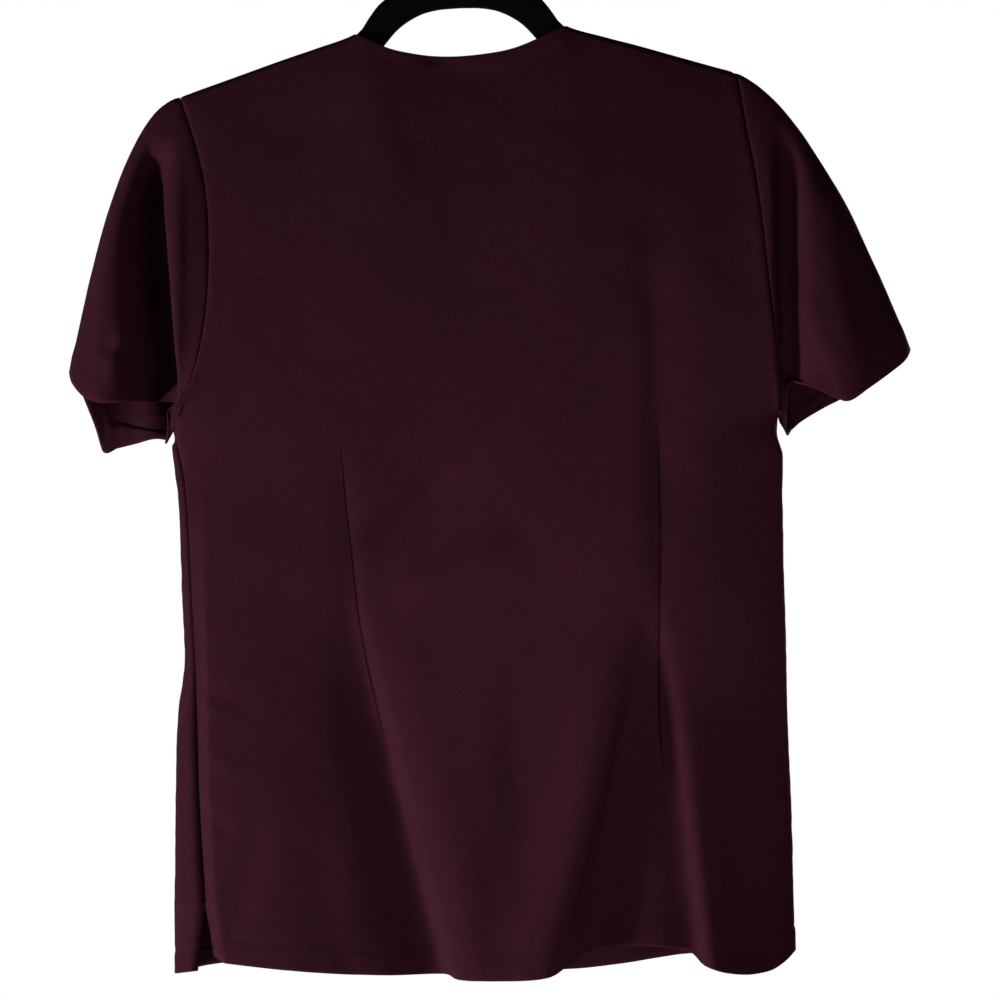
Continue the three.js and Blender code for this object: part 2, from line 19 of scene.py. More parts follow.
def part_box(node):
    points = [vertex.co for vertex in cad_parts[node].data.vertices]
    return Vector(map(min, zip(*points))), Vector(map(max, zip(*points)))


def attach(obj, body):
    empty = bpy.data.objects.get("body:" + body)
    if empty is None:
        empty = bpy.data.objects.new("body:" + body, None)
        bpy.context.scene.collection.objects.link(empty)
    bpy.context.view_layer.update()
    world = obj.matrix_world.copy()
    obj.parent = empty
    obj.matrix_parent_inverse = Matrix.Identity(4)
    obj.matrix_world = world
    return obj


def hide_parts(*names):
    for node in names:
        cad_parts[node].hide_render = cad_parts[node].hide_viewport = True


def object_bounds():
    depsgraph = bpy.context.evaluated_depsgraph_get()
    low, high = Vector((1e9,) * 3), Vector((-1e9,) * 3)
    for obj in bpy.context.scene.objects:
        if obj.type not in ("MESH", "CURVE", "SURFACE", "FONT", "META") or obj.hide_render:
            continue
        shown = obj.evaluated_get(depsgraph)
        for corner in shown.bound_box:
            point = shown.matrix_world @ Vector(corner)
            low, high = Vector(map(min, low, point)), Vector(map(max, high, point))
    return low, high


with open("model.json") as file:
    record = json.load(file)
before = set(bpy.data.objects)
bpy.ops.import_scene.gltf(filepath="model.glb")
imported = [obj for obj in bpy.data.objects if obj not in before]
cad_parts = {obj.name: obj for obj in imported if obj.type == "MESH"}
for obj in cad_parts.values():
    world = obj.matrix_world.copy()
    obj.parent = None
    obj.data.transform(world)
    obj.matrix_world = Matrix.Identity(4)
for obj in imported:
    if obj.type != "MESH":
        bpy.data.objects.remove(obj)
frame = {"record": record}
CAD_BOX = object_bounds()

bl_info = {
    "name": "Scrub top on a hanger",
    "version": (1, 0, 0),
    "blender": (4, 5, 0),
    "location": "View3D > Sidebar > Scrub top",
    "description": "Builds a hanging scrub top, its hanger and a studio round them",
    "category": "Object",
}

MM = 0.001

# ---------------------------------------------------------------- driving sizes, mm

HOOK_ABOVE_NECK = 120
GARMENT_SHIFT = -2
HANGER_LEAN = math.tan(math.radians(1))
TIP_LEFT = 207
TIP_RIGHT = -201
NECK_HALF = 78
UNDERARM_DOWN = 292
VENT_DOWN = 635
FRONT_NECK_DOWN = 165
SHOULDER_COLUMNS = 10
SIDE_ROWS = 13
VENT_ROWS = 3
CORNER_TURN = 10            # a panel that turns a corner swells most this far from its seam
FULL_SWELL = 1.5            # a swell this large bows out in full
SEAM_HALF_GAP = 0.15
TURNED_GAP = 1.5            # from the outer face to the outer face of a turned edge
SEAM_TURN = 1.8             # a sleeve's seam allowance lies this far behind its face
SEAM_ALLOWANCE = 2.5        # and reaches this far past the seam, in behind the panel
PANEL_FLATNESS = 2.6        # a higher power keeps a panel flat until nearer to its sides
PANEL_ROUNDING = 0.62       # a lower power turns the sides in more sharply
SLEEVE_ROUNDING = 0.6       # the same for a sleeve, once round
SLEEVE_LIFT_FADE = 1.6      # how fast a sleeve's lift fades from its fold to the underarm
SLEEVE_FOLD_HALF = 6        # faces nearer to the fold's plane don't tell a sleeve's outside
HEM_STITCH = 17             # stitch rows, from the edge that they hold
NECK_STITCH = 9.5
SLEEVE_STITCH = 19
STITCH_WIDTH = 0.42
STITCH_PITCH = 1.35         # from stitch to stitch, in stitch lengths
FAR_FROM_DART = 40.0        # the distance given where there is no dart
HANGER_HALF = 204
HANGER_BAND = 23.5
HANGER_UNDER_CLOTH = 3.3
HOOK_INSIDE_RADIUS = 20
WIRE_RADIUS = 1.7
SOCKET_DEPTH = 14
SOCKET_CLEARANCE = 0.3
SHANK_STRAIGHT = 20         # straight wire from its foot to where it starts to bend

PANEL_ROW_STEPS = {"back": 7, "front": 6}   # mesh steps in each row of a panel's form
SLEEVE_COLUMN_STEPS = 6
SLEEVE_ROWS = 64
SLEEVE_HEM_COLUMN = 5       # the column of a sleeve's form where its hem's rows are counted

# ---------------------------------------------------------------- studio, metres

FLOOR_RADIUS = 1.25
CAMERA_X = -0.0235
CAMERA_LEVEL = -0.466
MIDDLE = (0.0, 0.0, -0.46)
LOW = (0.0, 0.0, -0.62)
YOKE = (0.1, 0.0, -0.15)
WARM_WHITE = (1.0, 0.95, 0.93)
WHITE = (1.0, 1.0, 1.0)
BLUISH = (0.4, 0.3, 1.0)

# ---------------------------------------------------------------- tables


def table(columns, rows):
    """Rows of numbers under named columns."""
    names = columns.split()
    return [dict(zip(names, row)) for row in rows]


# The hanger's shoulder line, the same on both arms before the hanger leans.
SHOULDER = table("out down", [
    (70, -8), (78, 0), (105, 9), (130, 16.5), (155, 24.5), (180, 32.5), (207, 41),
])

# Armhole seams: x on each panel.
ARMHOLE = table("down back_left back_right front_left front_right", [
    (35, 209, -201, 209, -201),
    (45, 207, -203, 207, -201),
    (80, 196, -208, 200, -198),
    (110, 189.5, -213, 196, -198),
    (145, 187, -217, 195, -200),
    (190, 188.5, -221, 196, -204),
    (225, 194, -224.5, 201, -212),
    (254, 202.5, -227, 207.5, -221),
    (275, 212.5, -227.8, 213.5, -226),
    (292, 217.5, -228, 217.5, -228),
])

# How much of a panel's depth is left at its armhole seam, from tip (0) to underarm (1).
ARMHOLE_DEPTH = table("along share", [
    (0, 1), (0.3, 0.95), (0.6, 0.8), (0.85, 0.6), (0.95, 0.42), (1, 0),
])

# Side seams, and how far the panel that turns the corner swells past its seam.
SIDE_SEAM = table("down left_x left_y right_x right_y front_swell back_swell", [
    (292, 217.5, 4, -228, -3, 0, 0),
    (318, 211, 9, -226, -7, 3.5, 1.5),
    (345, 207.5, 13, -223.5, -10, 4, 3.5),
    (415, 205, 16, -222, -12, 5.5, 5),
    (460, 203.5, 16, -222, -13, 6.5, 5.5),
    (500, 203, 16, -222, -14, 13.5, 5.5),
    (560, 202.5, 17, -222.5, -14, 16.5, 6.5),
    (635, 199, 20, -223, -14, 23, 6.5),
])

# Lower corners of the panels, where the vents open.
CORNER = {
    "back": {"left_x": 193, "left_y": 20, "right_x": -224, "right_y": -8, "swell": 5},
    "front": {"left_x": 209, "left_y": -5, "right_x": -214, "right_y": -20, "swell": 16},
}

HEM = {
    "back": table("x down", [
        (-232, 680), (-224, 687), (-212, 693), (-190, 693.5), (-162, 685), (-150, 674),
        (-120, 669.5), (-90, 671), (-62, 682), (-40, 687), (0, 688), (60, 686),
        (105, 683), (150, 678), (190, 673.5), (205, 672),
    ]),
    "front": table("x down", [
        (-225, 685), (-156, 690), (-104, 697), (-66, 700), (0, 696), (66, 689),
        (150, 685), (200, 687), (226, 691),
    ]),
}

# Neck edges: the back one is a shallow curve and the front one a V.
NECK = {
    "back": table("x down", [
        (-78, 0), (-43, 15), (-20, 19.5), (10, 20.5), (49, 14), (78, 0),
    ]),
    "front": table("x down", [
        (-78, 0), (-60, 42), (0, FRONT_NECK_DOWN), (60, 42), (78, 0),
    ]),
}

# Depth of each panel from the plane of the hanger, by the drop below the shoulder line.
DEPTH = table("drop back front", [
    (0, 0, 0), (3, 4.2, 4.2), (8, 5.4, 5.4), (20, 7, 7.5), (50, 10, 11), (100, 15, 18),
    (200, 24, 28), (300, 30, 32), (450, 31, 32), (560, 34, 36), (690, 40, 42),
])

# The main folds: a height (toward the outside) that grows from the first point to the
# second and then stays, and a width on each side.
FOLD_COLUMNS = "from_x from_down to_x to_down height left_width right_width"
FOLDS = {
    "back": table(FOLD_COLUMNS, [
        (84, 400, 28, 690, -9, 42, 20),
        (0, 420, -18, 690, 7, 48, 36),
        (-136, 420, -84, 660, -10, 22, 34),
        (-150, 470, -166, 690, 6, 14, 30),
        (90, 380, 20, 335, -2.5, 14, 14),
        (150, 500, 135, 690, 4, 34, 34),
    ]),
    "front": table(FOLD_COLUMNS, [
        (-90, 390, -40, 690, -8, 34, 22),
        (10, 420, 0, 690, 6, 44, 40),
        (110, 400, 70, 690, -9, 24, 40),
        (-150, 450, -150, 690, 5, 30, 26),
    ]),
}

# Smaller creases, which fade out at both ends.
CREASES = {
    "back": table(FOLD_COLUMNS, [
        (190, 300, 197, 900, 10.0, 12, 75),
        (-100, 220, 85, 392, -3.0, 12, 20),
        (102, 380, -1, 820, -8.0, 22, 9),
        (81, 400, -19, 820, 6.5, 9, 30),
        (-122, 400, -172, 820, -5.0, 14, 7),
        (-140, 400, -178, 800, 4.4, 7, 20),
        (-116, 430, -10, 820, 12.0, 25, 9),
        (-134, 410, -60, 760, -5.5, 8, 22),
        (94, 384, 6, 320, -3.0, 8, 14),
        (66, 420, -40, 368, 4.0, 10, 18),
        (-24, 440, -34, 660, -1.8, 14, 14),
        (-60, 290, -150, 170, -2.2, 14, 30),
        (-150, 330, -60, 420, 1.4, 18, 22),
        (110, 250, 60, 150, 0.8, 24, 24),
        (96, 300, 84, 480, -1.6, 10, 10),
        (-138, 110, -137, 460, -2.6, 11, 20),
        (212, 470, 150, 500, -1.2, 6, 8),
        (214, 505, 165, 545, 1.0, 6, 8),
        (212, 560, 170, 585, -0.9, 5, 7),
        (150, 560, 180, 668, -1.2, 12, 10),
        (100, 560, 84, 690, 1.2, 14, 18),
        (-186, 500, -196, 690, -1.4, 14, 16),
        (-8, 560, -14, 690, -1.0, 12, 14),
        (56, 650, 50, 684, -1.6, 3, 3),
        (-190, 330, -140, 300, 0.8, 12, 12),
        (-60, 80, -150, 60, -0.7, 10, 14),
        (70, 60, 150, 84, -0.7, 10, 14),
    ]),
    "front": table(FOLD_COLUMNS, [
        (-84, 420, -44, 690, -1.8, 6, 10),
        (104, 430, 74, 690, -2.0, 10, 5),
        (0, 190, -26, 400, 0.9, 20, 26),
        (60, 120, 96, 330, -1.0, 16, 18),
        (-70, 110, -110, 320, -1.0, 18, 18),
        (150, 300, 60, 350, -1.2, 8, 12),
        (-160, 290, -70, 345, -1.2, 12, 8),
        (-200, 500, -150, 540, -1.1, 6, 8),
        (206, 520, 150, 560, 1.0, 7, 9),
        (226, 676, 206, 660, -1.4, 4, 5),
        (20, 520, 34, 690, -1.1, 14, 12),
    ]),
}

# Sewn darts in the back panel: x of each line of stitches.
DARTS = table("down left right", [
    (290, 92.6, -138), (345, 90, -137.4), (387, 86, -136.8), (430, 82.2, -135.6),
    (475, 75, -134.4), (520, 65.5, -133.6), (560, 56, -136),
])
DART_TOP = {"left": 306, "right": 292}
DART_END = {"left": 520, "right": 540}

# Sleeve hems, once round: from the fold at the top, along the back to the underarm
# (0.5) and along the front to the fold again. "out" is the distance from the centre.
SLEEVES = {
    "left": {
        "side": 1,
        "lift": 89,
        "swing": 4,
        "bulge": 26,
        "hem": table("turn out y down", [
            (0, 291, 0, 243), (0.02, 291.5, 4, 246), (0.06, 289, 9, 254), (0.12, 280, 14, 264),
            (0.2, 266, 18, 269), (0.28, 250, 18, 268.5), (0.36, 235, 17, 268), (0.42, 223, 15, 269),
            (0.46, 219, 11, 276), (0.5, 222, 2, 298), (0.54, 226, -8, 296), (0.6, 233, -15, 295),
            (0.7, 247, -21, 298), (0.8, 262, -24, 301), (0.88, 274, -22, 303), (0.92, 278.5, -16, 285),
            (0.95, 283, -9, 268), (0.98, 289, -4, 250), (1, 291, 0, 243),
        ]),
        "folds": table(FOLD_COLUMNS, [
            (218, 72, 233, 130, -14, 11, 10),
            (235, 110, 229, 300, -11, 12, 11),
        ]),
        "creases": table(FOLD_COLUMNS, [
            (235, 30, 209, 380, -19.0, 20, 5),
            (239, 40, 231, 380, 8.0, 12, 9),
            (258, 60, 270, 380, 4.0, 12, 18),
            (272, 226, 236, 238, -2.0, 4, 6),
            (206, 60, 213, 300, 1.6, 6, 5),
            (246, 200, 262, 262, 2.2, 5, 5),
        ]),
    },
    "right": {
        "side": -1,
        "lift": 76,
        "swing": -2,
        "bulge": 24,
        "hem": table("turn out y down", [
            (0, 324, 0, 240), (0.02, 324.5, 4, 242.5), (0.06, 320, 10, 250), (0.12, 308, 16, 259),
            (0.2, 290, 22, 271), (0.27, 276, 24, 279.5), (0.33, 266, 22, 277), (0.4, 249, 18, 268),
            (0.46, 235, 11, 263), (0.5, 233, 0, 300), (0.55, 238, -11, 299), (0.62, 247, -18, 292),
            (0.7, 263, -24, 283), (0.8, 285, -24, 272), (0.9, 306, -16, 258), (0.96, 320, -7, 246),
            (1, 324, 0, 240),
        ]),
        "folds": table(FOLD_COLUMNS, [
            (-236, 70, -231, 235, -14, 8, 10),
        ]),
        "creases": table(FOLD_COLUMNS, [
            (-234, 60, -232, 320, -5.0, 5, 12),
            (-262, 60, -278, 300, 3.0, 20, 16),
            (-276, 150, -300, 262, -1.3, 8, 10),
            (-238, 190, -272, 268, 1.2, 8, 8),
            (-222, 90, -224, 190, 1.0, 5, 5),
        ]),
    },
}

# The hanger's arch over the neck: outer and inner edges of the band, and how high.
ARCH_OUTER = table("out up", [
    (0, 40), (26, 37.5), (45, 30.5), (59, 21), (66, 12.5), (72, 3.5),
])
ARCH_INNER = table("out up", [
    (0, 16.2), (16, 15.4), (30, 12), (45, 3), (57, -10), (68, -23),
])

# Small wrinkles of the cloth: height, wavelength, and a seed that shifts the noise.
WRINKLES = {
    "panel": ((1.5, 85, 3.1), (0.35, 27, 9.7)),
    "sleeve": ((1.1, 60, 4.4), (0.3, 21, 8.2)),
}
RIPPLE_LENGTH = 9
RIPPLE_SEED = 5.3

# A turned hem: how far the double cloth stands out, the groove of its stitches, and the
# height of its puckers and their place, from the edge.
HEM_FORM = {
    "panel": {"stitch": HEM_STITCH, "step": 0.45, "groove": 0.5, "pucker": 0.55, "pucker_at": 9},
    "sleeve": {"stitch": SLEEVE_STITCH, "step": 0.4, "groove": 0.45, "pucker": 0.45, "pucker_at": 10},
}

# The lights, in metres, each with its power as a share of one of the studio's settings.
LIGHTS = table("name place target size setting share colour", [
    ("key light", (2.0, 0.72, -1.35), LOW, 0.45, "key_power", 1, WARM_WHITE),
    ("near light", (-0.16, 0.42, -0.6), MIDDLE, 0.25, "fill_power", 1, WARM_WHITE),
    ("sky light", (0.78, 0.46, 0.12), YOKE, 0.3, "fill_power", 2, BLUISH),
    ("front light", (-1.3, -1.3, -0.4), MIDDLE, 1.0, "fill_power", 58, WHITE),
])

# ---------------------------------------------------------------- helpers


def mix(a, b, share):
    return a + (b - a) * share


def clamp(value, low=0.0, high=1.0):
    return min(max(value, low), high)


def rise(value, low, high):
    """Smooth step from 0 at low to 1 at high, for numbers and arrays."""
    t = np.clip((value - low) / (high - low), 0, 1)
    return t * t * (3 - 2 * t)


def bump(offset, width):
    return np.exp(-((offset / width) ** 2))


def read(rows, key, value, column):
    """A smooth curve through one column of a table, held level past its ends."""
    i = 1
    while i < len(rows) - 1 and value > rows[i][key]:
        i += 1
    a = rows[i - 1]
    b = rows[i]
    before = rows[i - 2] if i > 1 else a
    after = rows[i + 1] if i + 1 < len(rows) else b
    span = b[key] - a[key]
    t = clamp((value - a[key]) / span)
    start_slope = (b[column] - before[column]) / (b[key] - before[key]) * span
    end_slope = (after[column] - a[column]) / (after[key] - a[key]) * span
    t2 = t * t
    t3 = t2 * t
    return (
        (2 * t3 - 3 * t2 + 1) * a[column] + (t3 - 2 * t2 + t) * start_slope
        + (3 * t2 - 2 * t3) * b[column] + (t3 - t2) * end_slope
    )


def shoulder_down(x):
    return read(SHOULDER, "out", abs(x), "down") + x * HANGER_LEAN


def fold_height(folds, x, down):
    height = 0.0
    for fold in folds:
        along = clamp((down - fold["from_down"]) / (fold["to_down"] - fold["from_down"]))
        off = x - mix(fold["from_x"], fold["to_x"], along)
        width = fold["left_width"] if off > 0 else fold["right_width"]
        t = clamp(along / 0.45)
        height += fold["height"] * t * t * (3 - 2 * t) * math.exp(-((off / width) ** 2))
    return height


def crease_relief(creases, x, down):
    """Creases that run any way and fade out at both ends, for arrays of points."""
    total = np.zeros_like(x)
    for crease in creases:
        run_x = crease["to_x"] - crease["from_x"]
        run_down = crease["to_down"] - crease["from_down"]
        length = math.hypot(run_x, run_down)
        from_x = x - crease["from_x"]
        from_down = down - crease["from_down"]
        along = (from_x * run_x + from_down * run_down) / length**2
        off = (from_x * run_down - from_down * run_x) / length
        if run_down < 0:
            off = -off
        width = np.where(off > 0, crease["left_width"], crease["right_width"])
        fade = rise(along, 0, 0.35) * (1 - rise(along, 0.7, 1.0))
        total += crease["height"] * fade * bump(off, width)
    return total


def waves(points, wavelength, seed):
    """Smooth noise between -1 and 1 at each point, given in mm."""
    rows, columns = points.shape[:2]
    result = np.empty((rows, columns))
    offset = Vector((seed, 2 * seed, 3 * seed))
    for i in range(rows):
        for j in range(columns):
            result[i, j] = noise.noise(Vector(points[i, j]) / wavelength + offset)
    return result


def face_normals(points, outward):
    """Outward unit normals of a grid of points."""
    along = np.gradient(points, axis=0)
    across = np.gradient(points, axis=1)
    normals = np.cross(along, across)
    normals /= np.maximum(np.linalg.norm(normals, axis=2, keepdims=True), 1e-9)
    return normals * outward


def fine_steps(count, each):
    """Fractional positions from 0 to count, with "each" steps in every whole one."""
    return [step / each for step in range(count * each + 1)]


# ---------------------------------------------------------------- front and back panels

# Columns across the neck, and rows from shoulder to underarm, as shares of their runs.
NECK_SHARES = [0, 0.025, 0.17, 0.33, 0.5, 0.67, 0.83, 0.975, 1]
ARMHOLE_ROWS = [0, 0.013, 0.035, 0.09, 0.18, 0.28, 0.38, 0.49, 0.6, 0.71, 0.82, 0.9, 0.96, 1]
NECK_COLUMNS = len(NECK_SHARES) - 1
COLUMNS = 2 * SHOULDER_COLUMNS + NECK_COLUMNS
LAST_ARMHOLE = len(ARMHOLE_ROWS) - 1


def between(values, position):
    """A value between two entries of a list, at a fractional position."""
    index = min(int(position), len(values) - 2)
    return mix(values[index], values[index + 1], position - index)


def top_x(column):
    if column <= SHOULDER_COLUMNS:
        return mix(TIP_LEFT, NECK_HALF, column / SHOULDER_COLUMNS)
    past = column - SHOULDER_COLUMNS
    if past <= NECK_COLUMNS:
        return mix(NECK_HALF, -NECK_HALF, between(NECK_SHARES, past))
    return mix(-NECK_HALF, TIP_RIGHT, (past - NECK_COLUMNS) / SHOULDER_COLUMNS)


def top_down(panel, column):
    x = top_x(column)
    if SHOULDER_COLUMNS < column < SHOULDER_COLUMNS + NECK_COLUMNS:
        return read(NECK[panel], "x", x, "down") + x * HANGER_LEAN
    return shoulder_down(x)


def column_share(column):
    """Share of the width at a column, closer together toward the sides."""
    even = column / COLUMNS
    return 0.5 * even + 0.25 * (1 - math.cos(math.pi * even))


def armhole_edge(panel, side, along):
    """x, y and down of the armhole seam, from the shoulder tip (0) to the underarm (1)."""
    tip = TIP_LEFT if side == "left" else TIP_RIGHT
    down = mix(shoulder_down(tip), UNDERARM_DOWN, along)
    x = tip if along == 0 else read(ARMHOLE, "down", down, f"{panel}_{side}")
    depth = read(DEPTH, "drop", max(down - shoulder_down(x), 0), panel)
    share = read(ARMHOLE_DEPTH, "along", along, "share")
    outward = 1 if panel == "back" else -1
    seam_y = SIDE_SEAM[0][f"{side}_y"]
    return x, outward * depth * share + seam_y * float(rise(along, 0.7, 1)), down


def row_edges(panel, row):
    """The two side edges of a panel at a row, with the zone that the row is in."""
    if row <= LAST_ARMHOLE:
        along = between(ARMHOLE_ROWS, row)
        left = armhole_edge(panel, "left", along)
        right = armhole_edge(panel, "right", along)
        return {"zone": "armhole", "along": along, "left": left[:2], "right": right[:2], "swell": 0}

    def seam_at(down):
        x_y = {
            side: (read(SIDE_SEAM, "down", down, f"{side}_x"), read(SIDE_SEAM, "down", down, f"{side}_y"))
            for side in ("left", "right")
        }
        return x_y["left"], x_y["right"], read(SIDE_SEAM, "down", down, f"{panel}_swell")

    side_row = row - LAST_ARMHOLE
    if side_row <= SIDE_ROWS:
        along = side_row / SIDE_ROWS
        left, right, swell = seam_at(mix(UNDERARM_DOWN, VENT_DOWN, along))
        return {"zone": "side", "along": along, "left": left, "right": right, "swell": swell}
    along = (side_row - SIDE_ROWS) / VENT_ROWS
    left, right, swell = seam_at(VENT_DOWN)
    corner = CORNER[panel]
    return {
        "zone": "vent",
        "along": along,
        "left": (mix(left[0], corner["left_x"], along), mix(left[1], corner["left_y"], along)),
        "right": (mix(right[0], corner["right_x"], along), mix(right[1], corner["right_y"], along)),
        "swell": mix(swell, corner["swell"], along),
    }


def panel_point(panel, edges, column):
    """x, y and down on the outer face, with the distances to the seam, the top and the hem."""
    outward = 1 if panel == "back" else -1
    share = column_share(column)
    if edges["zone"] == "armhole":
        top_share = (TIP_LEFT - top_x(column)) / (TIP_LEFT - TIP_RIGHT)
        share = mix(top_share, share, edges["along"])
    width = edges["left"][0] - edges["right"][0]
    x = mix(edges["left"][0], edges["right"][0], share)
    swell = edges["swell"]
    if swell > 0:
        from_seam = width * (share if panel == "front" else 1 - share) / CORNER_TURN
        toward = 1 if panel == "front" else -1
        reach = (swell + CORNER_TURN) * float(rise(swell, 0, FULL_SWELL))
        x += toward * reach * from_seam * math.exp(1 - from_seam)

    hem_down = read(HEM[panel], "x", x, "down")
    top = top_down(panel, column)
    down = {
        "armhole": lambda: mix(top, UNDERARM_DOWN, edges["along"]),
        "side": lambda: mix(UNDERARM_DOWN, VENT_DOWN, edges["along"]),
        "vent": lambda: mix(VENT_DOWN, hem_down, edges["along"]),
    }[edges["zone"]]()

    fill = (1 - abs(1 - 2 * share) ** PANEL_FLATNESS) ** PANEL_ROUNDING
    depth = read(DEPTH, "drop", max(down - shoulder_down(x), 0), panel)
    fold = fold_height(FOLDS[panel], x, down) * math.sqrt(fill)
    side_y = mix(edges["left"][1], edges["right"][1], share)
    y = mix(side_y, outward * depth, fill) + outward * fold
    return x, y, down, width * min(share, 1 - share), down - top, hem_down - down


def even_out(depths, share, passes):
    """Draws each depth toward those beside it in its column, as far as its share says."""
    for _ in range(passes):
        even = (depths[:-2] + 2 * depths[1:-1] + depths[2:]) / 4
        depths[1:-1] += share[1:-1] * (even - depths[1:-1])


def soften_depth(points, from_side, from_top, down):
    """Evens out the panel's depth where its zones meet, by the underarm and across the yoke."""
    y = points[:, :, 1]
    even_out(y, rise(from_side, 6, 40) * rise(from_top, 12, 60), 90)
    even_out(y, bump(down - UNDERARM_DOWN, 55) * rise(from_side, 1, 9), 220)
    yoke = rise(from_side, 6, 40) * rise(from_top, 3, 24) * (1 - rise(down, 260, 400))
    even_out(y.T, yoke.T, 200)


def panel_surface(panel, columns_each, rows_each):
    """Grids of x, down, the distances, and the points of the outer face, all in mm."""
    armhole = fine_steps(LAST_ARMHOLE, rows_each)
    side = [LAST_ARMHOLE + step for step in fine_steps(SIDE_ROWS, rows_each + 3)[1:]]
    vent = [LAST_ARMHOLE + SIDE_ROWS + step for step in fine_steps(VENT_ROWS, rows_each)[1:]]
    rows = armhole + side + vent
    columns = fine_steps(COLUMNS, columns_each)
    values = np.array([
        [panel_point(panel, edges, column) for column in columns]
        for edges in (row_edges(panel, row) for row in rows)
    ])
    x, y, down, from_side, from_top, from_hem = np.moveaxis(values, 2, 0)
    points = np.stack((x + GARMENT_SHIFT, y, -HOOK_ABOVE_NECK - down), axis=2)
    soften_depth(points, from_side, from_top, down)
    return {
        "x": x, "down": down, "from_side": from_side, "from_top": from_top,
        "from_hem": from_hem, "points": points, "vent_row": len(armhole) + len(side) - 1,
        "neck": (SHOULDER_COLUMNS * columns_each, (SHOULDER_COLUMNS + NECK_COLUMNS) * columns_each),
    }


def no_darts(x):
    """What dart_lines gives where a piece has no dart."""
    return np.full_like(x, FAR_FROM_DART), np.zeros_like(x)


def dart_lines(x, down):
    """Signed distance to the nearer dart, and how far the dart is sewn there, 0 to 1."""
    best, sewn = no_darts(x)
    levels = np.linspace(DARTS[0]["down"], DARTS[-1]["down"], 60)
    for side in ("left", "right"):
        line = np.interp(down, levels, [read(DARTS, "down", level, side) for level in levels])
        off = x - line
        nearer = np.abs(off) < np.abs(best)
        fade = rise(down, DART_TOP[side] - 10, DART_TOP[side] + 30)
        fade = fade * (1 - rise(down, DART_END[side] - 30, DART_END[side] + 25))
        best = np.where(nearer, off, best)
        sewn = np.where(nearer, fade, sewn)
    return best, sewn


def add_wrinkles(relief, points, where, kind):
    for height, wavelength, seed in WRINKLES[kind]:
        relief += where * height * waves(points, wavelength, seed)


def add_hem(relief, from_hem, ripple, kind):
    """Adds a turned hem's step, the groove along its stitches and its puckers."""
    form = HEM_FORM[kind]
    relief += form["step"] * (1 - rise(from_hem, form["stitch"] - 2, form["stitch"] + 1.5))
    relief -= form["groove"] * bump(from_hem - form["stitch"], 1.8)
    relief += form["pucker"] * ripple * bump(from_hem - form["pucker_at"], 12)


def panel_relief(panel, surface, depth):
    """Small heights over the main form: creases, darts, seams, the hem and puckers."""
    x = surface["x"]
    down = surface["down"]
    relief = depth * crease_relief(CREASES[panel], x, down)
    inside = rise(surface["from_side"], 1, 13) * rise(surface["from_top"], 1, 20)
    relief *= inside
    add_wrinkles(relief, surface["points"], depth * inside, "panel")

    ripple = waves(surface["points"], RIPPLE_LENGTH, RIPPLE_SEED)
    surface["dart"], surface["sewn"] = no_darts(x)
    if panel == "back":
        off, sewn = dart_lines(x, down)
        relief -= 1.5 * sewn * np.exp(-np.abs(off) / 3.2)
        relief += 0.35 * sewn * ripple * bump(off, 9)
        surface["dart"] = off
        surface["sewn"] = sewn
    add_hem(relief, surface["from_hem"], ripple, "panel")

    on_seam = down < VENT_DOWN
    from_side = np.where(on_seam, surface["from_side"], 60)
    relief -= 0.9 * np.exp(-from_side / 1.6)
    relief += 0.4 * ripple * bump(from_side - 3, 8) * rise(from_side, 0, 3)
    return relief


# ---------------------------------------------------------------- sleeves


def sleeve_surface(name, columns_each, rows):
    """The sleeve's outer face: rows run from armhole to hem, columns once round."""
    sleeve = SLEEVES[name]
    half = [between(ARMHOLE_ROWS, step) for step in fine_steps(LAST_ARMHOLE, columns_each)]
    turns = [along / 2 for along in half] + [1 - along / 2 for along in reversed(half[:-1])]
    armhole = []
    hem = []
    for turn in turns:
        panel = "back" if turn <= 0.5 else "front"
        along = 2 * turn if turn <= 0.5 else 2 - 2 * turn
        x, y, down = armhole_edge(panel, name, along)
        armhole.append((x, y, -down))
        at = {column: read(sleeve["hem"], "turn", turn, column) for column in ("out", "y", "down")}
        hem.append((sleeve["side"] * at["out"], at["y"], -at["down"]))
    turns = np.array(turns)
    armhole = np.array(armhole)
    hem = np.array(hem)

    from_top = 1 - np.abs(1 - 2 * turns)
    face = np.sin(2 * np.pi * turns)
    handle = (armhole + hem) / 2
    handle[:, 0] += sleeve["side"] * sleeve["swing"] * (1 - from_top)
    handle[:, 1] = sleeve["bulge"] * np.sign(face) * np.abs(face) ** SLEEVE_ROUNDING * (1 - 0.5 * from_top)
    handle[:, 2] += sleeve["lift"] * (1 - from_top) ** SLEEVE_LIFT_FADE

    t = np.linspace(0, 1, rows + 1)[:, None, None]
    form = (1 - t) ** 2 * armhole + 2 * t * (1 - t) * handle + t**2 * hem
    x = form[:, :, 0].copy()
    down = -form[:, :, 2]
    t = t[:, :, 0]
    on_back = face > 0
    folds = np.vectorize(lambda at_x, at_down: fold_height(sleeve["folds"], at_x, at_down))(x, down)
    form[:, :, 1] += np.where(on_back, folds * rise(t, 0, 0.3) * rise(face, 0, 0.5), 0)
    form[:, :, 0] += GARMENT_SHIFT
    form[:, :, 2] -= HOOK_ABOVE_NECK

    run = np.linalg.norm(np.diff(form, axis=0), axis=2)
    from_armhole = np.vstack((np.zeros(len(turns)), np.cumsum(run, axis=0)))
    return {
        "x": x, "down": down, "points": form, "face": np.broadcast_to(face, x.shape),
        "from_side": from_armhole, "from_hem": from_armhole[-1] - from_armhole,
    }


